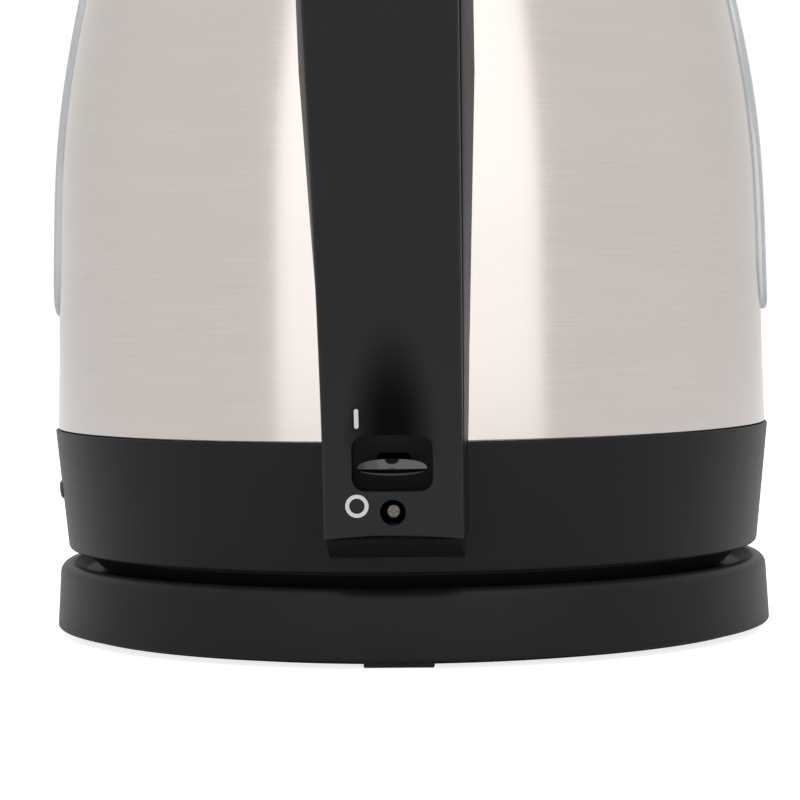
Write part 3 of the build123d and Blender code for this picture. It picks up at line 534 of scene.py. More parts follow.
@made_once
def brushed_stainless(flat=False):
    """Stainless steel, brushed round the jug or spun on a flat disc: fine lines that stretch highlights."""
    name = "spun_stainless_steel" if flat else "brushed_stainless_steel"
    made, tree, surface = start_material(name, Metallic=1.0, Anisotropic=0.5, Anisotropic_Rotation=0.25)
    # Streaks 14 mm long at the belly's radius, at the pitch that the user has set
    streak_mm, radius_mm, pitch_mm = 14.0, 70.0, sizes().grain_pitch
    # Broad bands 40 mm long and about 17 pitches high
    band = (streak_mm / 40, 1.0, 0.06)
    # Scratches 7 mm long and 0.7 mm wide, wider than real ones so that they show
    scratch_long_mm, scratch_wide_mm = 50 / 7, 2 / 3
    where = add(tree, "ShaderNodeTexCoord")
    part = add(tree, "ShaderNodeSeparateXYZ", {"Vector": where.outputs["Object"]})
    turn = add(tree, "ShaderNodeMath", {0: part.outputs["X"], 1: part.outputs["Y"]}, operation="ARCTAN2")
    around = add(tree, "ShaderNodeMath", {
        0: turn.outputs[0], 1: radius_mm / streak_mm}, operation="MULTIPLY")
    if flat:
        level = add(tree, "ShaderNodeVectorMath", {
            0: where.outputs["Object"], 1: (1, 1, 0)}, operation="MULTIPLY")
        length = add(tree, "ShaderNodeVectorMath", {0: level.outputs[0]}, operation="LENGTH")
        across = length.outputs["Value"]
    else:
        across = part.outputs["Z"]
    lines = add(tree, "ShaderNodeMath", {0: across, 1: 1 / (pitch_mm * MM)}, operation="MULTIPLY")
    place = add(tree, "ShaderNodeCombineXYZ", {"X": around.outputs[0], "Z": lines.outputs[0]})
    grain = add(tree, "ShaderNodeTexNoise", {
        "Vector": place.outputs[0], "Scale": 1.0, "Detail": 5.0, "Roughness": 0.7})
    broad_place = add(tree, "ShaderNodeVectorMath", {0: place.outputs[0], 1: band}, operation="MULTIPLY")
    broad = add(tree, "ShaderNodeTexNoise", {"Vector": broad_place.outputs[0], "Scale": 1.0, "Detail": 3.0})
    colour = tuple(colours().steel)
    darker, lighter = tinted(colour, 0.965), tinted(colour, 1.03)
    faint = add(tree, "ShaderNodeMath", {0: broad.outputs["Fac"], 1: 0.5}, operation="MULTIPLY")
    both = add(tree, "ShaderNodeMath", {0: grain.outputs["Fac"], 1: faint.outputs[0]}, operation="ADD")
    spread = add(tree, "ShaderNodeMapRange", {"Value": both.outputs[0], "From Min": 0.5, "From Max": 1.0})
    mix = add(tree, "ShaderNodeMix", {
        "Factor": spread.outputs["Result"], 6: darker, 7: lighter}, data_type="RGBA")
    # Sparse short scratches a little darker than the steel, tilted off the brush lines
    scratch_place = add(tree, "ShaderNodeMapping", {
        "Vector": where.outputs["Object"], "Rotation": (0.5, 0.3, 0.0),
        "Scale": tuple(1 / (mm * MM) for mm in (scratch_long_mm, scratch_long_mm, scratch_wide_mm))})
    scratch = add(tree, "ShaderNodeTexNoise", {
        "Vector": scratch_place.outputs[0], "Scale": 1.0, "Detail": 1.0})
    sparse = add(tree, "ShaderNodeMapRange", {
        "Value": scratch.outputs["Fac"], "From Min": 0.78, "From Max": 0.92})
    marked = add(tree, "ShaderNodeMix", {
        "Factor": sparse.outputs["Result"], 6: mix.outputs[2], 7: linear("#B4AEA9")}, data_type="RGBA")
    gloss = add(tree, "ShaderNodeMapRange", {
        "Value": spread.outputs["Result"], "To Min": 0.16, "To Max": 0.22})
    bump = add(tree, "ShaderNodeBump", {
        "Height": grain.outputs["Fac"], "Strength": 0.35, "Distance": 0.004 * MM})
    run = add(tree, "ShaderNodeTangent", direction_type="RADIAL", axis="Z")
    tree.links.new(marked.outputs[2], surface.inputs["Base Color"])
    tree.links.new(gloss.outputs["Result"], surface.inputs["Roughness"])
    tree.links.new(bump.outputs["Normal"], surface.inputs["Normal"])
    tree.links.new(run.outputs["Tangent"], surface.inputs["Tangent"])
    return made


@made_once
def rolled_metal(name, code, rough, grain_mm):
    """Plain metal as it comes from the mill or the plating bath: even, with soft uneven gloss."""
    made, tree, surface = start_material(name, Metallic=1.0)
    speckle(tree, surface, linear(code), grain_mm, 0.06, (rough, rough + 0.12), 0.004)
    return made


@made_once
def moulded_window():
    """Water window moulded in clear SAN with a satin inner face: milky, with glassy edges."""
    made, tree, surface = start_material(
        "moulded_clear_san", IOR=1.57, Transmission_Weight=0.55, Roughness=0.16)
    speckle(tree, surface, tuple(colours().window), 8.0, 0.04, (0.12, 0.2), 0.002)
    return made


@made_once
def printed_ink():
    """Pad-printed pale grey ink of the on and off marks: flat and slightly uneven."""
    made, tree, surface = start_material("pad_printed_ink", IOR=1.5)
    speckle(tree, surface, tuple(colours().marks), 0.2, 0.05, (0.5, 0.6), 0.004)
    return made


@made_once
def level_ink():
    """Pad-printed dark grey ink of the water level ticks: flat and slightly uneven."""
    made, tree, surface = start_material("pad_printed_level_ink", IOR=1.5)
    speckle(tree, surface, linear("#4A4C50"), 0.2, 0.05, (0.5, 0.6), 0.004)
    return made


@made_once
def moulded_rubber(name, code, rough):
    """Moulded rubber or silicone: dull, soft looking, with a faint bloom."""
    made, tree, surface = start_material(name, IOR=1.45)
    speckle(tree, surface, linear(code), 1.2, 0.1, (rough, rough + 0.12), 0.008)
    return made


@made_once
def tinted_lens():
    """Dark red polycarbonate lens: nearly black until the lamp glows behind it."""
    made, tree, surface = start_material("tinted_polycarbonate", IOR=1.58, Transmission_Weight=0.3)
    speckle(tree, surface, linear("#2A0D0C"), 4.0, 0.05, (0.08, 0.14), 0.001)
    return made


@made_once
def lamp_glass():
    """Drawn glass of the glow lamp: thin and clear with a warm tint."""
    made, tree, surface = start_material("drawn_lamp_glass", IOR=1.5, Transmission_Weight=0.8)
    speckle(tree, surface, linear("#F0D8C4"), 3.0, 0.05, (0.03, 0.08), 0.001)
    return made


@made_once
def wire_sheath():
    """Silicone sheath of the wires: chalky off-white."""
    made, tree, surface = start_material("extruded_silicone_sheath", IOR=1.42)
    speckle(tree, surface, linear("#C9C3B6"), 1.0, 0.08, (0.5, 0.62), 0.006)
    return made


# ------------------------------------------------------------------ handle stations
def handle_width(z, foot, grip):
    """Half width of the handle at a height, between its foot and its grip."""
    t = min(max((z - FOOT_END_Z) / (GRIP_Z - FOOT_END_Z), 0), 1)
    return foot + (grip - foot) * t


# The lower half of the outside line, from the foot up
FACE_LINE = along(HANDLE_OUTER, 300)[0][150:][::-1]


def face_y(z):
    """Distance of the cover's face from the axis at a height below the top bend."""
    return float(np.interp(z, FACE_LINE[:, 1], FACE_LINE[:, 0]))


def scoop_at(x, z):
    """Depth of the thumb scoop at a place on the cover's face."""
    top_half, bottom_half, fade_out = 4.32, 9.18, 9.0
    down = min(max((SCOOP_TOP - z) / (SCOOP_TOP - SCOOP_BOTTOM), 0), 1)
    across = max(0.0, 1 - (x / (top_half + (bottom_half - top_half) * down)) ** 2)
    rise = down * down * (3 - 2 * down)
    if z < SCOOP_BOTTOM:
        rise *= max(0.0, 1 - (SCOOP_BOTTOM - z) / fade_out)
    return sizes().scoop_depth * rise * across ** 1.5


def cover_section(w):
    """Outline of the cover's section as (x, depth): a channel with rounded corners and a crowned face."""
    edge, crown, fillet = sizes().cover_edge, sizes().cover_crown, 1.2
    inside = w - COVER_SIDE_T
    corner = [(w - edge + edge * sin(a), edge - edge * cos(a)) for a in np.linspace(0, pi / 2, 7)]
    face = np.linspace(-1, 1, 41)[1:-1] * (w - edge)
    outline = [(-x, d) for x, d in corner[::-1]]
    outline += [(x, 0.0) for x in face]
    outline += corner
    outline = [(x, d - crown * (1 - (x / w) ** 2) + crown) for x, d in outline]
    leg = [(w, COVER_DEPTH), (inside, COVER_DEPTH), (inside, SHELL_T + fillet), (inside - fillet, SHELL_T)]
    ceiling = np.linspace(1, -1, 31)[1:-1] * (inside - fillet)
    return outline + leg + [(x, SHELL_T) for x in ceiling] + [(-x, d) for x, d in leg[::-1]]


# ------------------------------------------------------------------ operators
class KETTLE_OT_stage(bpy.types.Operator):
    """Camera, floor, surroundings and the soft box overhead."""
    bl_idname = "kettle.stage"
    bl_label = "Stage"

    def execute(self, context):
        scene = context.scene
        scene.view_settings.view_transform = "Standard"
        self.camera(scene)
        self.floor(scene)
        self.world(scene)
        self.overhead_box(scene)
        return {"FINISHED"}

    def camera(self, scene):
        """Long lens at the height of the collar, looking level at the handle."""
        distance, height, azimuth = 0.648, 0.0755, radians(2.3)
        pitch, yaw, roll, lens = radians(-2.44), radians(0.21), radians(-0.7), 137.0
        data = bpy.data.cameras.new("camera")
        data.lens = lens
        data.sensor_width = 36.0
        data.clip_start = 0.01
        camera = bpy.data.objects.new("camera", data)
        scene.collection.objects.link(camera)
        turn = Matrix.Rotation(azimuth + yaw, 4, "Z") @ Matrix.Rotation(pi / 2 + pitch, 4, "X")
        turn = turn @ Matrix.Rotation(roll, 4, "Z")
        where = Vector((distance * sin(azimuth), -distance * cos(azimuth), height))
        camera.matrix_world = Matrix.Translation(where) @ turn
        scene.camera = camera

    def floor(self, scene):
        """Wide flat sheet of back-lit white acrylic, brighter to the camera than to the kettle."""
        side, glow_on_kettle, glow_to_eye = 3000.0, 0.2, 0.8
        grid = [(x, y, 0.0) for y in (-side, side) for x in (-side, side)]
        floor = new_piece("floor", grid, [(0, 1, 3, 2)])
        made, tree, surface = start_material(
            "back_lit_white_acrylic", IOR=1.45, Specular_IOR_Level=0.0, Emission_Color=(1, 1, 1, 1))
        seen = add(tree, "ShaderNodeLightPath")
        glow = add(tree, "ShaderNodeMapRange", {
            "Value": seen.outputs["Is Camera Ray"], "To Min": glow_on_kettle, "To Max": glow_to_eye})
        tree.links.new(glow.outputs["Result"], surface.inputs["Emission Strength"])
        speckle(tree, surface, linear("#CFCFD0"), 2.0, 0.01, (0.7, 0.8), 0.002)
        floor.data.materials.append(made)

    def world(self, scene):
        """Even white surroundings, a brighter wall on the handle's side, and plain white to the camera."""
        bright, even, dimming, to_eye = 1.75, 0.92, -0.12, 1.05
        middle, wall_end, wall_fade = radians(2), radians(41), radians(43.5)
        dim_start, dim_full = radians(90), radians(160)
        world = bpy.data.worlds.new("studio")
        scene.world = world
        world.use_nodes = True
        tree = world.node_tree
        tree.nodes.clear()
        where = add(tree, "ShaderNodeTexCoord")
        part = add(tree, "ShaderNodeSeparateXYZ", {"Vector": where.outputs["Generated"]})
        across = add(tree, "ShaderNodeMath", {0: part.outputs["Y"], 1: -1.0}, operation="MULTIPLY")
        turn = add(tree, "ShaderNodeMath", {0: part.outputs["X"], 1: across.outputs[0]}, operation="ARCTAN2")
        from_middle = add(tree, "ShaderNodeMath", {0: turn.outputs[0], 1: middle}, operation="SUBTRACT")
        away = add(tree, "ShaderNodeMath", {0: from_middle.outputs[0]}, operation="ABSOLUTE")
        wall = add(tree, "ShaderNodeMapRange", {
            "Value": away.outputs[0], "From Min": wall_end, "From Max": wall_fade,
            "To Min": bright, "To Max": even}, interpolation_type="SMOOTHSTEP")
        back = add(tree, "ShaderNodeMapRange", {
            "Value": away.outputs[0], "From Min": dim_start, "From Max": dim_full,
            "To Min": 0.0, "To Max": dimming}, interpolation_type="SMOOTHSTEP")
        level = add(tree, "ShaderNodeMath", {0: wall.outputs[0], 1: back.outputs[0]}, operation="ADD")
        seen = add(tree, "ShaderNodeLightPath")
        lit = add(tree, "ShaderNodeBackground", {"Color": linear("#FFFDFA"), "Strength": level.outputs[0]})
        plain = add(tree, "ShaderNodeBackground", {"Color": (1, 1, 1, 1), "Strength": to_eye})
        mix = add(tree, "ShaderNodeMixShader", {
            0: seen.outputs["Is Camera Ray"], 1: lit.outputs[0], 2: plain.outputs[0]})
        add(tree, "ShaderNodeOutputWorld", {"Surface": mix.outputs[0]})

    def overhead_box(self, scene):
        """One large weak soft box overhead that rounds off the upper edges."""
        side, watts, distance = 1.4, 5.0, 1.6
        azimuth, elevation, target = radians(20), radians(72), Vector((0, 0, 0.1))
        data = bpy.data.lights.new("overhead", "AREA")
        data.shape, data.size, data.size_y = "RECTANGLE", side, side
        data.energy = watts
        lamp = bpy.data.objects.new("overhead", data)
        scene.collection.objects.link(lamp)
        level = cos(elevation)
        where = target + distance * Vector((sin(azimuth) * level, -cos(azimuth) * level, sin(elevation)))
        turn = (target - where).to_track_quat("-Z", "Y").to_matrix().to_4x4()
        lamp.matrix_world = Matrix.Translation(where) @ turn


class KETTLE_OT_steel_wall(bpy.types.Operator):
    """Brushed steel wall of the jug, with the window slots and the outlet to the spout."""
    bl_idname = "kettle.steel_wall"
    bl_label = "Steel wall"

    def execute(self, context):
        low, joggle, level, ease = 33.0, 72.6, 1.6, 0.15
        foot_z = SEAM_Z + 0.12
        heights = np.arange(foot_z + 0.08, BODY_TOP_Z - 0.3, level)
        # The part that the collar hides, set back behind the visible lower edge
        outline = [(joggle, low), (joggle, foot_z), (steel_radius(foot_z) - ease, foot_z)]
        outline += [(steel_radius(z), z) for z in heights]
        outline += [(BODY_TOP_R, BODY_TOP_Z - 0.2), (BODY_TOP_R - STEEL_T / 2, BODY_TOP_Z)]
        outline += [(BODY_TOP_R - STEEL_T, BODY_TOP_Z - 0.2)]
        outline += [(steel_radius(z) - STEEL_T, z) for z in heights[::-2]]
        outline += [(joggle - STEEL_T, SEAM_Z + STEEL_T), (joggle - STEEL_T, low)]
        wall = new_piece("steel_wall", *lathe(outline, 300))
        gap = 0.2
        slot = slot_outline(WINDOW_W / 2 + gap, WINDOW_LOW - gap, WINDOW_HIGH + gap)
        for side in (1, -1):
            cut(wall, prism(slot, lambda a, b, t: (side * t, a, b), (40, 80)))
        outlet_z, low_half, top_half, corner = (175, 195.5), 6, 12.5, 2
        outlet = rounded([
            (-low_half, outlet_z[0], corner), (low_half, outlet_z[0], corner),
            (top_half, outlet_z[1], corner), (-top_half, outlet_z[1], corner)])
        cut(wall, prism(outlet, lambda a, b, t: (a, t, b), (30, 80)))
        place_piece(wall, "jug", "brushed_steel", brushed_stainless(), "steel_body")
        return {"FINISHED"}


class KETTLE_OT_windows(bpy.types.Operator):
    """Water windows with rounded proud edges, and their level ticks."""
    bl_idname = "kettle.windows"
    bl_label = "Water windows"

    def execute(self, context):
        half, back, flange_face, face = WINDOW_W / 2, -3.6, -2.0, 1.5
        inmost = half - 0.1
        # (inset from the opening's edge, height over the wall): back, flange, proud edge, face
        steps = [
            (inmost, back), (5.0, back), (0.1 - WINDOW_FLANGE, back), (-WINDOW_FLANGE, back + 0.1),
            (-WINDOW_FLANGE, flange_face - 0.1), (0.1 - WINDOW_FLANGE, flange_face), (0, flange_face),
            (0, 0.6), (0.12, 0.98), (0.4, 1.28), (0.8, 1.44),
            (1.3, face), (2.4, face), (4.0, face), (6.0, face), (inmost, face)]
        for side, name in ((1, "right"), (-1, "left")):
            def on_wall(y, z, proud):
                r = steel_radius(z) + proud
                return side * sqrt(max(r * r - y * y, 1)), y, z
            rings = []
            for inset, proud in steps:
                loop = slot_outline(half - inset, WINDOW_LOW + inset, WINDOW_HIGH - inset)
                rings.append([on_wall(y, z, proud) for y, z in loop])
            lens = new_piece(f"water_window_{name}", *skin(rings), sharp=50)
            place_piece(lens, "jug", "window", moulded_window(), f"window_{name}")
            self.ticks(side, name, on_wall)
        return {"FINISHED"}

    def ticks(self, side, name, on_wall):
        """Ticks at every quarter litre from half a litre and at the full mark, the half litres longer."""
        full, cubic_mm_in_litres = 1.7, 1e-6
        edge_y, long_tick, short_tick, half_thick = 7.0, 6.0, 3.6, 0.3
        parts, volume, z, step = [], 0.0, HEATER_Z, 0.05
        wanted = [0.5 + 0.25 * k for k in range(5)] + [full]
        while wanted and z < BODY_TOP_Z:
            volume += pi * (steel_radius(z) - STEEL_T) ** 2 * step * cubic_mm_in_litres
            z += step
            if volume < wanted[0]:
                continue
            litres = wanted.pop(0)
            reach = long_tick if litres in (0.5, 1.0, 1.5, full) else short_tick
            line = np.linspace(edge_y, edge_y - reach, 9)
            outline = [(y, z + half_thick) for y in line] + [(y, z - half_thick) for y in line[::-1]]
            parts.append(skin([[on_wall(y, h, proud) for y, h in outline] for proud in (1.4, 1.55)]))
        tick = new_piece(f"level_ticks_{name}", *merged(*parts))
        place_piece(tick, "jug", "black_housing", level_ink())


class KETTLE_OT_collar(bpy.types.Operator):
    """Collar of the jug with its rounded lower edge and the slot of the pilot light."""
    bl_idname = "kettle.collar"
    bl_label = "Collar"

    def execute(self, context):
        wall, lip, lip_z, lens_gap = 70.0, 72.75, 32.6, 0.06
        low, top = COLLAR_Z + 0.8, SEAM_Z - 0.1
        outline = rounded([
            (wall, low, 0.4), (COLLAR_LOW_R - 0.1, low, 1.1), (COLLAR_R, top, 0.35), (lip, top, 0.1),
            (lip, lip_z, 0), (wall, lip_z, 0)])
        collar = new_piece("collar_shell", *lathe(outline, 288))
        half_wide, half_high = LENS_SIZE[0] / 2 + lens_gap, LENS_SIZE[1] / 2 + lens_gap
        slot = slot_outline(half_high, -half_wide, half_wide, 12, 8)
        cut(collar, prism(slot, lambda a, b, t: lens_turned(t, b, LENS_Z + a), (-60, -80)))
        place_piece(collar, "jug", "black_housing", moulded_polypropylene(), "collar")
        return {"FINISHED"}


class KETTLE_OT_base(bpy.types.Operator):
    """Skirt and deck of the power base, with the drain hole and the cord inlet."""
    bl_idname = "kettle.base"
    bl_label = "Power base"

    def execute(self, context):
        hole, deck, deck_t, rim = 16.8, 13.0, 2, RIM_Z - 0.35
        step, drain_y, drain_r, sharp_edge = deck - 0.25, -34, 2.0, 0.01
        outline = rounded([
            (SKIRT_R, SKIRT_Z, 0.35), (SKIRT_R - 0.8, rim, 2.3), (71.5, rim, 0.7), (69.6, deck, 1.0),
            (hole + 8.2, deck, 0.5), (hole + 7.6, step, 0.2), (hole, step, 0.2), (hole, deck - deck_t, 0),
            (68.4, deck - deck_t, 0), (71.9, deck, 0.3), (SKIRT_R - SHELL_T, SKIRT_Z, 0.2)], 7)
        base = new_piece("base_shell", *lathe(outline, 288))
        cut(base, rod_between((0, 66, INLET_Z), (0, 80, INLET_Z), INLET_R + 0.05, sharp_edge, 48))
        cut(base, rod_between((0, drain_y, 5), (0, drain_y, 20), drain_r, sharp_edge))
        place_piece(base, "base", "black_housing", moulded_polypropylene(), "base_cover")
        return {"FINISHED"}


class KETTLE_OT_handle_cover(bpy.types.Operator):
    """Outer shell of the handle: a crowned channel with the switch window, thumb scoop and screw well."""
    bl_idname = "kettle.handle_cover"
    bl_label = "Handle cover"

    def execute(self, context):
        arch_high, arch_rise = 9.0, 0.9
        stations, runs = along(HANDLE_OUTER, 330)
        rings = []
        for (r, z), (dr, dz) in zip(stations, runs):
            w = handle_width(z, *COVER_HALF)
            ring = []
            for x, depth in cover_section(w):
                if depth < SHELL_T + 0.5 and z < 100 and r < 120:
                    # the inner face sinks a little less than the outer
                    depth += scoop_at(x, z) * (1.0 if depth < 1.5 else 0.9)
                # the inward direction is to the right of the direction of travel
                pr, pz = r + depth * dz, z - depth * dr
                # the lower edge arches up towards its middle
                near_foot = max(0.0, 1 - (z - HANDLE_OUTER[-1][1]) / arch_high)
                ring.append((x, -pr, pz + near_foot ** 2 * arch_rise * (1 - (x / w) ** 2)))
            rings.append(ring)
        end = self.end_wall(stations[0], runs[0])
        cover = new_piece("handle_cover_shell", *merged(skin(rings), end), sharp=40)
        window = [(a, b + SWITCH_WINDOW_Z) for a, b in rectangle_outline(*SWITCH_WINDOW, SWITCH_CORNER_R, 8)]
        cut(cover, prism(window, lambda a, b, t: (a, -t, b), (80, 110)), sharp=40)
        screw_hole = rod_between((0, -110, SCREW_HOLE_Z), (0, -80, SCREW_HOLE_Z), SCREW_HOLE_R, 0.01, 48)
        cut(cover, screw_hole, sharp=40)
        # The cover's material carries painted shade in the thumb scoop
        place_piece(cover, "jug", "black_housing", polypropylene_with_painted_scoop_shade(), "handle_cover")
        self.wells(*SWITCH_WINDOW)
        return {"FINISHED"}

    def end_wall(self, station, run):
        """Wall that closes the channel where it meets the hinge."""
        inset = 0.3
        (r, z), (dr, dz) = station, run
        w = handle_width(z, *COVER_HALF) - inset
        section = [(x, d + inset) for x, d in cover_section(w) if d < SHELL_T / 2 or abs(x) > w - 0.01]
        return skin([
            [(x, -(r + t * dr + d * dz), z + t * dz - d * dr) for x, d in section] for t in (0.1, 1.5)])

    def wells(self, width, height):
        """Liners that give the window and the screw hole depth, with a hole for the lever's arm behind."""
        front, back, behind, liner_t = 0.9, 7.2, 8.0, 0.9
        # (width, height, corner radius, middle height)
        mouth = (width + 0.04, height + 0.04, SWITCH_CORNER_R, SWITCH_WINDOW_Z)
        arm_hole = (6.4, 4.0, 1.0, LEVER_Z)
        outside = (width + 2 * liner_t, height + 2 * liner_t, SWITCH_CORNER_R + liner_t, SWITCH_WINDOW_Z)
        rings = []
        for (wide, high, corner, middle), depth in (
                (mouth, front), (mouth, back), (arm_hole, back), (arm_hole, behind), (outside, behind),
                (outside, front)):
            ring = []
            for a, b in with_straights(rectangle_outline(wide, high, corner, 8)):
                z = b + middle
                # the front edge follows the thumb scoop
                sink = scoop_at(a, z) if depth == front else 0.0
                ring.append((a, -(face_y(z) - (depth + sink)), z))
            rings.append(ring)
        screw_well, outer_r, floor = [], 3.2, 5.0
        for radius, depth in ((SCREW_HOLE_R, 0.15), (SCREW_HOLE_R, floor), (outer_r, floor), (outer_r, 1.2)):
            ring = []
            for a in np.linspace(0, 2 * pi, 48, endpoint=False):
                z = SCREW_HOLE_Z + radius * sin(a)
                ring.append((radius * cos(a), -(face_y(z) - depth), z))
            screw_well.append(ring)
        piece = new_piece("switch_well", *merged(skin(rings, wrap=True), skin(screw_well, wrap=True)))
        place_piece(piece, "jug", "black_housing", moulded_polypropylene())


class KETTLE_OT_handle_shell(bpy.types.Operator):
    """Inner shell of the handle, which the fingers close on, down to the foot on the collar."""
    bl_idname = "kettle.handle_shell"
    bl_label = "Handle inner shell"

    def execute(self, context):
        count = 260
        outer, runs = along(HANDLE_OUTER, count)
        gap = COVER_DEPTH + sizes().parting_gap
        parting = np.stack([outer[:, 0] + gap * runs[:, 1], outer[:, 1] - gap * runs[:, 0]], 1)
        inner, _ = along(HANDLE_INNER, count)
        parting[0] = (HANDLE_OUTER[0][0], parting[0][1])
        grip = skin([self.section(p, q) for p, q in zip(parting, inner)])
        end = self.end_wall(parting[0][0], parting[0][1], inner[0][1])
        shell = new_piece("handle_inner_shell", *merged(grip, self.foot(), end), sharp=40)
        place_piece(shell, "jug", "black_housing", moulded_polypropylene(), "handle_inner")
        return {"FINISHED"}

    def widths(self, z):
        """Half widths at the parting line and at the back."""
        return handle_width(z, *PARTING_HALF), handle_width(z, *BACK_HALF)

    def section(self, front, back):
        """U-shaped section between the parting line and the back of the grip."""
        front, back = np.array(front), np.array(back)
        length = float(np.hypot(*(back - front)))
        direction = (back - front) / length
        near, far = self.widths(front[1])
        # the back's corners grow softer up the grip
        soft = min(max((front[1] - 40) / 4, 0.5), 6.5, length * 0.42)
        half = []
        for t in np.linspace(0, 1, 13):
            depth = t * (length - soft)
            half.append((near + (far - near) * (depth / length) ** 0.7, depth))
        w, soft_wide = half[-1][0], soft * 1.05
        for a in np.linspace(0, pi / 2, 9)[1:]:
            half.append((w - soft_wide + soft_wide * cos(a), length - soft + soft * sin(a)))
        half.append((0.0, length))
        wall, tongue, tongue_d = 2.2, near - 1.7, -1.2
        inside = [(max(x - wall, 0.0), min(d, length - wall)) for x, d in half[::-1]]
        # a tongue at each edge reaches in front of the parting line, behind the cover
        inside[-1] = (near - wall, tongue_d)
        outline = half + [(-x, d) for x, d in half[::-1][1:]] + [(-tongue, 0.0), (-tongue, tongue_d)]
        outline += [(-x, d) for x, d in inside[::-1]] + inside[1:] + [(tongue, tongue_d), (tongue, 0.0)]
        ring = []
        for x, depth in outline:
            r, z = front + direction * depth
            ring.append(self.off_the_jug(x, r, z))
        return ring

    def off_the_jug(self, x, r, z):
        """Moves a point that would lie inside the jug out to its skin."""
        clearance = 0.05
        if z < BODY_TOP_Z - 5:
            skin_r = envelope_radius(max(z, COLLAR_Z + 1)) + clearance
            if hypot(x, r) < skin_r and r > 0:
                r = sqrt(max(skin_r ** 2 - x * x, 0))
        return x, -r, z

    def foot(self):
        """Solid foot: a bevel that falls from the cover's edge to a short flat underside on the collar."""
        front, edge_z = HANDLE_OUTER[-1]
        heel, overlap, spread = 74.2, 2.9, 0.4
        side = [
            (front - 3.0, edge_z + overlap), (front - 1.1, edge_z - 0.05), (heel, FOOT_Z),
            (FOOT_BACK, FOOT_Z), (FOOT_BACK, edge_z + overlap)]
        # a little wider where it meets the collar
        halves = [FOOT_HALF + spread * (r <= heel) for r, z in side]
        return skin([
            [(share * half, -r, z) for half, (r, z) in zip(halves, side)] for share in (-1, -0.97, 0.97, 1)])

    def end_wall(self, r, parting_z, back_z):
        """Upright wall across the end at the hinge, from the parting line down to the back."""
        thick, inset = 2.2, 1.0
        half, low = self.widths(parting_z)[0] - inset, back_z + inset
        corners = [(half, parting_z), (half, low), (-half, low), (-half, parting_z)]
        return skin([[self.off_the_jug(x, r + t, z) for x, z in corners] for t in (0.0, thick)])


class KETTLE_OT_switch(bpy.types.Operator):
    """Thumb lever and the printed on and off marks."""
    bl_idname = "kettle.switch"
    bl_label = "Switch"

    def execute(self, context):
        self.lever()
        self.marks()
        return {"FINISHED"}

    def lever(self):
        """Lens-shaped paddle with a pinched ridge, its arm and the barrel on the pin."""
        low, high = box_mm("switch_lever")
        half_wide, front, middle = (high.x - low.x) / 2, low.y, LEVER_Z
        angles = np.linspace(0, 2 * pi, 72, endpoint=False)
        # The face falls back gently above its ridge and steeply below it, and bows back towards its ends
        ridge, upper_high, lower_high, upper_slope, lower_slope, bow = -0.55, 1.8, 0.9, 0.62, 2.0, 0.88
        rings = []
        for share in (1.0, 0.985, 0.94, 0.84, 0.66, 0.42, 0.12):
            ring = []
            for a in angles:
                x = share * half_wide * cos(a)
                reach = upper_high if sin(a) > 0 else lower_high
                z = ridge + share * copysign(abs(sin(a)) ** 0.75, sin(a)) * reach
                notch = 0.45 * max(0.0, 1 - (x / 1.3) ** 2) * max(0.0, (z - 0.5) / 0.7)
                back = (z - ridge) * upper_slope if z > ridge else (ridge - z) * lower_slope
                ring.append((x, front + 0.25 + back + bow * (x / half_wide) ** 2 + notch, middle + z))
            rings.append(ring)
        rings.insert(0, [(x, front + 4.6, z) for x, y, z in rings[0]])
        flange = []
        for y, share in ((front + 3.4, 1.0), (front + 2.9, 1.0), (front + 2.75, 0.97)):
            flange.append([
                (share * half_wide * cos(a), y, middle - 0.75 + share * 1.2 * sin(a)) for a in angles])
        arm = eased_block((-2.6, front + 4.2, middle - 0.8), (2.6, PIVOT_Y, middle + 0.8), 0.3)
        barrel = rod_between((-5, PIVOT_Y, PIVOT_Z), (5, PIVOT_Y, PIVOT_Z), 2.2)
        tail = eased_block((-2, PIVOT_Y - 0.9, middle), (2, PIVOT_Y + 0.9, high.z), 0.3)
        lever = new_piece("thumb_lever", *merged(skin(rings), skin(flange), arm, barrel, tail), sharp=30)
        place_piece(lever, "switch", "gloss_black", polished_abs(), "switch_lever")

    def marks(self):
        """A bar for on above the window and a ring for off below it."""
        def on_face(x, z, proud):
            return x, -(face_y(z) + proud), z
        sunk, proud = -0.3, 0.04
        bar_x, bar_z, bar_w, bar_h, bar_r = -6.4, 48.45, 0.8, 3.65, 0.39
        ring_x, ring_z, outer_r, inner_r = -6.6, 32.25, 2.15, 1.42
        outline = [(bar_x + a, bar_z + b) for a, b in rectangle_outline(bar_w, bar_h, bar_r, 5)]
        bar = skin([[on_face(x, z, out) for x, z in outline] for out in (sunk, proud)])
        rings = []
        for radius, out in ((outer_r, sunk), (outer_r, proud), (inner_r, proud), (inner_r, sunk)):
            rings.append([
                on_face(ring_x + radius * cos(a), ring_z + radius * sin(a), out)
                for a in np.linspace(0, 2 * pi, 64, endpoint=False)])
        marks = new_piece("switch_marks", *merged(bar, skin(rings, wrap=True)))
        place_piece(marks, "jug", "black_housing", printed_ink())


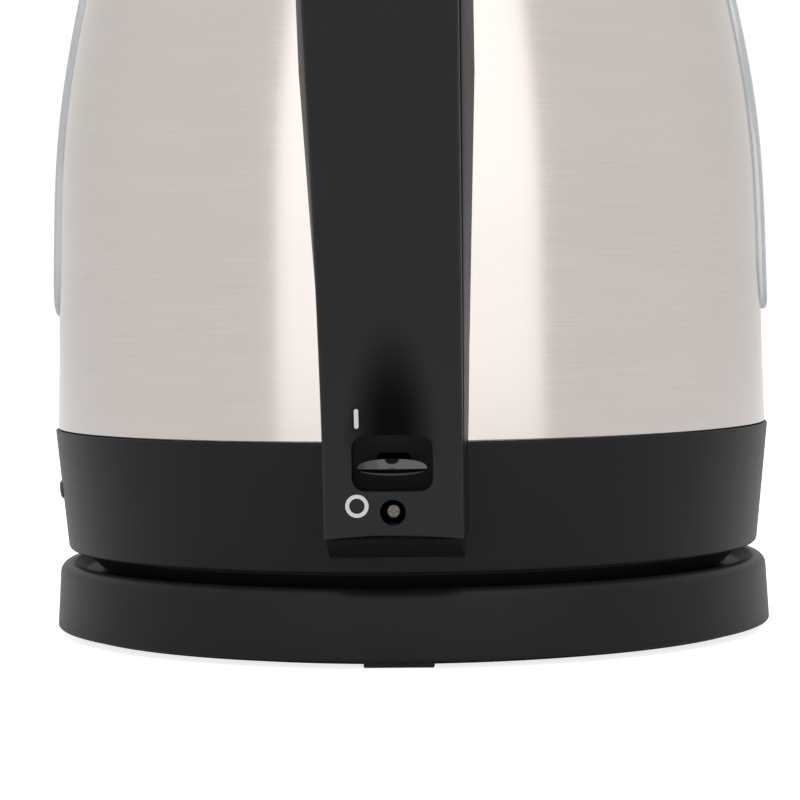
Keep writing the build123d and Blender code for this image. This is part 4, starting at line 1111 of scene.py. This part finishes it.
class KETTLE_OT_pilot_lens(bpy.types.Operator):
    """Domed lens of the pilot light."""
    bl_idname = "kettle.pilot_lens"
    bl_label = "Pilot lens"

    def execute(self, context):
        half_wide, half_high = LENS_SIZE[0] / 2, LENS_SIZE[1] / 2
        inmost, back = half_high - 0.05, -3.0
        # (inset from the outline, height over the collar): back, side, dome
        steps = ((inmost, back), (0, back), (0, 0.1), (0.12, 0.3), (0.4, 0.47), (0.9, 0.56), (inmost, 0.6))
        rings = []
        for inset, out in steps:
            ring = []
            for a, b in slot_outline(half_high - inset, -half_wide + inset, half_wide - inset, 12, 8):
                r = envelope_radius(LENS_Z + a) + out
                ring.append(lens_turned(-sqrt(r * r - b * b), b, LENS_Z + a))
            rings.append(ring)
        lens = new_piece("pilot_lens_dome", *skin(rings), sharp=50)
        place_piece(lens, "jug", "lamp_lens", tinted_lens(), "pilot_lens")
        return {"FINISHED"}


class KETTLE_OT_spout(bpy.types.Operator):
    """Thin steel spout with a rolled pouring lip."""
    bl_idname = "kettle.spout"
    bl_label = "Spout"

    def execute(self, context):
        low, high = box_mm("spout")
        wall, tip_y = 1.1, high.y - 0.35
        outer, inner = [], []
        for t in np.linspace(0, 1, 40):
            z = low.z + 0.4 + (high.z - low.z - 0.9) * t
            outer.append(self.row(t, z, tip_y, 0.0))
            inner.append(self.row(t, z + 0.2, tip_y, wall))
        lip = [self.row(1.0, high.z - 0.12, high.y, 0.1), self.row(1.0, high.z - 0.02, high.y, 0.5),
               self.row(1.0, high.z - 0.12, high.y, 0.95)]
        rows = outer + lip + inner[::-1]
        points = [point for row in rows for point in row]
        count, total = len(rows[0]), len(rows)
        faces = []
        for i in range(total - 1):
            for k in range(count - 1):
                a = i * count + k
                faces.append((a, a + 1, a + count + 1, a + count))
        # the lower edge, between the first row outside and the last inside
        for k in range(count - 1):
            faces.append((k, k + 1, (total - 1) * count + k + 1, (total - 1) * count + k))
        # both roots, where the outer rows meet the inner ones
        for edge in (0, count - 1):
            for i in range(total // 2):
                a, b = i * count + edge, (total - 1 - i) * count + edge
                c, d = (i + 1) * count + edge, (total - 2 - i) * count + edge
                if len({a, b, c, d}) == 4:
                    faces.append((a, b, d, c))
        spout = new_piece("pouring_spout", points, faces, sharp=45)
        place_piece(spout, "jug", "brushed_steel", brushed_stainless(), "spout")
        return {"FINISHED"}

    def row(self, t, z, tip_y, inset):
        """One level of the V, from its left root round the tip to its right root."""
        low_half, top_half, low_tip, low_root, top_root = 9.0, 25.0, 63.0, 52.0, 42.0
        half = low_half + (top_half - low_half) * t - inset
        root_y = low_root + (top_root - low_root) * t
        tip = low_tip + (tip_y - low_tip) * t - inset
        # the V's tip is rounder towards the top
        tip_r = max(2.6 + 3.4 * t - inset, 0.8)
        centre = tip - tip_r
        run = hypot(half, centre - root_y)
        touch = pi / 2 - atan2(half, centre - root_y) - atan2(tip_r, sqrt(run ** 2 - tip_r ** 2))
        tx, ty = tip_r * abs(cos(touch)), tip_r * abs(sin(touch))
        steps = 16
        right = [
            (half + (tx - half) * k / steps, root_y + (centre + ty - root_y) * k / steps) for k in range(steps)]
        for a in np.linspace(atan2(ty, tx), pi / 2, 9):
            right.append((tip_r * cos(a), centre + tip_r * sin(a)))
        rim_r = 55.0
        keep_r = (steel_radius(z) if z < BODY_TOP_Z else rim_r) + 0.1
        # points inside the wall slide along the V to where it meets the wall
        row = [(x, y) if hypot(x, y) >= keep_r else self.meet(right, keep_r) for x, y in right]
        return [(-x, y, z) for x, y in row] + [(x, y, z) for x, y in row[::-1][1:]]

    def meet(self, line, radius):
        """Point where the line crosses the circle of the wall."""
        for (x0, y0), (x1, y1) in zip(line, line[1:]):
            if hypot(x0, y0) <= radius < hypot(x1, y1):
                near, far = hypot(x0, y0), hypot(x1, y1)
                t = (radius - near) / (far - near)
                return x0 + (x1 - x0) * t, y0 + (y1 - y0) * t
        return line[-1]


class KETTLE_OT_rim(bpy.types.Operator):
    """Ring on the jug's top edge, with the lid's hinge lugs and the tongue under the handle."""
    bl_idname = "kettle.rim"
    bl_label = "Rim ring"

    def execute(self, context):
        low_z, top, lip_z = box_mm("rim_ring")[0].z, 206.4, BODY_TOP_Z + 0.3
        plug_r, lip_r, wide_r, wide_z = 52.0, 54.4, 55.0, 203.2
        outline = rounded([
            (46.9, low_z, 0.5), (plug_r, low_z, 0.3), (plug_r, lip_z, 0.1), (lip_r, lip_z, 0.5),
            (wide_r, wide_z, 1.0), (53.6, top, 1.0), (47.3, top, 0.5)])
        bridge = eased_block((-13.4, -62.0, lip_z + 0.3), (13.4, -50.5, 205.0), 0.5)
        tongue = eased_block((-11.2, -86.0, 201.2), (11.2, -61.0, 204.4), 0.3)
        parts = [lathe(outline), bridge, tongue]
        lug_x, lug_r, lug_half, ease, root_z = 10.8, 4, 2.0, 0.3, 203.6
        arch = [(HINGE_Y + lug_r * cos(a), HINGE_Z + lug_r * sin(a)) for a in np.linspace(0, pi, 17)]
        arch += [(HINGE_Y - lug_r, root_z), (HINGE_Y + lug_r, root_z)]
        for x in (-lug_x, lug_x):
            rings = []
            for t, inset in (
                    (-lug_half, ease), (ease - lug_half, 0.0), (lug_half - ease, 0.0), (lug_half, ease)):
                share = 1 - inset / lug_r
                rings.append([
                    (x + t, HINGE_Y + (y - HINGE_Y) * share, HINGE_Z + (z - HINGE_Z) * share)
                    for y, z in arch])
            parts.append(skin(rings))
        ring = new_piece("rim_ring_shell", *merged(*parts))
        place_piece(ring, "jug", "black_housing", moulded_polypropylene(), "rim_ring")
        return {"FINISHED"}


class KETTLE_OT_lid(bpy.types.Operator):
    """Lid with its steel inlay, push button and hinge barrels."""
    bl_idname = "kettle.lid"
    bl_label = "Lid"

    def execute(self, context):
        self.cover()
        self.inlay()
        self.button()
        return {"FINISHED"}

    def dome(self, edge_r, edge_z, crown_z, stop_r, count=24):
        """Points of the domed top from its edge in to a radius."""
        sag = crown_z - edge_z
        big = (edge_r ** 2 + sag ** 2) / (2 * sag)
        radii = np.linspace(edge_r, stop_r, count)
        return [(r, crown_z - big + sqrt(big ** 2 - r * r)) for r in radii]

    def cover(self):
        """Domed cover with a hole for the button, and the two barrels and arms of the hinge."""
        dome_t = 2.0
        top, hole = box_mm("lid_cover")[1].z, box_mm("lid_button")[1].x - 2.0
        outer = self.dome(47.6, 213.6, top + 0.2, hole)
        edge = rounded([(LID_R - SHELL_T, LID_LOW, 0.2), (LID_R, LID_LOW, 0.5), (LID_R, 210.6, 2.2)], 6)
        shoulder = [(LID_R - 1.2, 212.0), (LID_R - 3.0, 213.0)]
        inner = [(r, z - dome_t) for r, z in outer[::-1]]
        outline = edge[:-1] + shoulder + outer + inner + [(LID_R - SHELL_T, 209.4)]
        parts = [lathe(outline)]
        barrel_start, barrel_end, barrel_r = 3.2, 8.4, 3.6
        for side in (1, -1):
            x0, x1 = sorted((barrel_start * side, barrel_end * side))
            parts.append(rod_between((x0, HINGE_Y, HINGE_Z), (x1, HINGE_Y, HINGE_Z), barrel_r))
            parts.append(eased_block((x0, HINGE_Y, 208.6), (x1, -49.6, 212.4), 0.5))
        cover = new_piece("lid_cover_shell", *merged(*parts))
        place_piece(cover, "lid", "black_housing", moulded_polypropylene(), "lid_cover")

    def inlay(self):
        """Thin dished steel plate round the button."""
        low, high = box_mm("lid_inlay")
        hole = box_mm("lid_button")[1].x - 1.5
        top = self.dome(high.x - 0.35, low.z + 0.75, high.z, hole + 0.3)
        under = self.dome(high.x, low.z + 0.1, high.z - 0.75, hole)
        outline = [(high.x, low.z + 0.5)] + top + [(hole, top[-1][1] - 0.25)] + under[::-1]
        inlay = new_piece("lid_inlay_plate", *lathe(outline))
        place_piece(inlay, "lid", "brushed_steel", brushed_stainless(True), "lid_inlay")

    def button(self):
        """Dished button with its flange, and the wedge below it that draws the latch."""
        high = box_mm("lid_button")[1]
        axis_r, cap_r, flange_r, flange_low, flange_top = 0.02, high.x - 2.4, high.x, 214.8, 216.4
        outline = rounded([
            (axis_r, flange_low, 0), (flange_r, flange_low, 0.3), (flange_r, flange_top, 0.3),
            (cap_r, flange_top, 0), (cap_r, high.z, 1.3), (cap_r - 3.2, high.z - 0.05, 1.0),
            (axis_r, high.z - 0.7, 0)], 7)
        wedge = [(-7.5, 205.9), (3.5, 205.9), (3.5, 215.0), (-9.0, 215.0), (-9.0, 207.4)]
        stem = prism(wedge, lambda a, b, t: (t, a, b), (-3.0, 3.0))
        button = new_piece("lid_push_button", *merged(lathe(outline, 120), stem))
        place_piece(button, "lid_button", "gloss_black", polished_abs(), "lid_button")


class KETTLE_OT_filter_mesh(bpy.types.Operator):
    """Woven wire of the limescale filter."""
    bl_idname = "kettle.filter_mesh"
    bl_label = "Filter mesh"

    def execute(self, context):
        low, high = box_mm("filter_mesh")
        # Wires 0.26 mm thick at 0.9 mm, coarser than the real weave so that it shows
        radius, pitch, wire, bar_half, frame_half = 49.7, 0.9, 0.13, 0.7, 13.3
        parts = []
        for side in (-1, 1):
            x0, x1 = sorted((bar_half * side, frame_half * side))
            columns = np.arange(x0 + pitch / 2, x1, pitch)
            rows = np.arange(low.z + pitch / 2, high.z, pitch)
            for x in columns:
                y = sqrt(radius ** 2 - x * x)
                parts.append(rod_between((x, y, low.z), (x, y, high.z), wire, 0.02, 6))
            for z in rows:
                rings = []
                for x in np.linspace(x0, x1, 9):
                    y = sqrt(radius ** 2 - x * x)
                    rings.append([
                        (x, y + wire * cos(a), z + wire * sin(a)) for a in np.linspace(0, 2 * pi, 7)[:-1]])
                parts.append(skin(rings))
        mesh = new_piece("woven_filter", *merged(*parts))
        steel_wire = rolled_metal("drawn_steel_wire", "#B9BABC", 0.25, 0.5)
        place_piece(mesh, "filter", "bright_steel", steel_wire, "filter_mesh")
        return {"FINISHED"}


class KETTLE_OT_carried_parts(bpy.types.Operator):
    """Materials of the CAD pieces that stay as they are."""
    bl_idname = "kettle.carried_parts"
    bl_label = "Carried parts"

    def execute(self, context):
        kinds = {
            "black_housing": moulded_polypropylene(),
            "gloss_black": polished_abs(),
            "inner_plastic": glass_filled_nylon(),
            "brushed_steel": brushed_stainless(),
            "bright_steel": rolled_metal("rolled_stainless_steel", "#C4C4C6", 0.24, 0.9),
            "aluminium": rolled_metal("rolled_aluminium", "#CFCFD1", 0.34, 1.2),
            "brass": rolled_metal("turned_brass", "#C9A55C", 0.22, 0.6),
            "zinc_screw": rolled_metal("zinc_plated_steel", "#6E6864", 0.28, 0.6),
            "window": moulded_window(),
            "silicone": moulded_rubber("moulded_silicone", "#CFCDC8", 0.4),
            "foot_rubber": moulded_rubber("moulded_epdm_rubber", "#161616", 0.7),
            "wire": wire_sheath(),
            "lamp_lens": tinted_lens(),
            "lamp_glass": lamp_glass(),
        }
        for entry in frame["record"]["subparts"]:
            node = frame["nodes"][entry["node"]]
            if not node.hide_render:
                node.data.materials.clear()
                node.data.materials.append(kinds[entry["material_slot"]])
        return {"FINISHED"}


OPERATORS = (
    KETTLE_OT_stage, KETTLE_OT_steel_wall, KETTLE_OT_windows, KETTLE_OT_collar, KETTLE_OT_base,
    KETTLE_OT_handle_cover, KETTLE_OT_handle_shell, KETTLE_OT_switch, KETTLE_OT_pilot_lens, KETTLE_OT_spout,
    KETTLE_OT_rim, KETTLE_OT_lid, KETTLE_OT_filter_mesh, KETTLE_OT_carried_parts,
)


class KETTLE_PT_panel(bpy.types.Panel):
    """Lists the settings and the pieces."""
    bl_idname = "KETTLE_PT_panel"
    bl_label = "Kettle"
    bl_space_type = "VIEW_3D"
    bl_region_type = "UI"
    bl_category = "Kettle"

    def draw(self, context):
        for group in (context.scene.kettle_sizes, context.scene.kettle_colours):
            box = self.layout.box()
            for name in group.__annotations__:
                box.prop(group, name)
        for operator in OPERATORS:
            self.layout.operator(operator.bl_idname)


CLASSES = (KettleSizes, KettleColours, *OPERATORS, KETTLE_PT_panel)


def register():
    """Registers the classes and the user's settings."""
    for one in CLASSES:
        bpy.utils.register_class(one)
    bpy.types.Scene.kettle_sizes = bpy.props.PointerProperty(type=KettleSizes)
    bpy.types.Scene.kettle_colours = bpy.props.PointerProperty(type=KettleColours)


def unregister():
    """Takes the settings and the classes away again."""
    del bpy.types.Scene.kettle_sizes
    del bpy.types.Scene.kettle_colours
    for one in reversed(CLASSES):
        bpy.utils.unregister_class(one)


def main():
    """Builds every piece in order."""
    register()
    for operator in OPERATORS:
        family, name = operator.bl_idname.split(".")
        getattr(getattr(bpy.ops, family), name)()


if __name__ == "__main__":
    main()
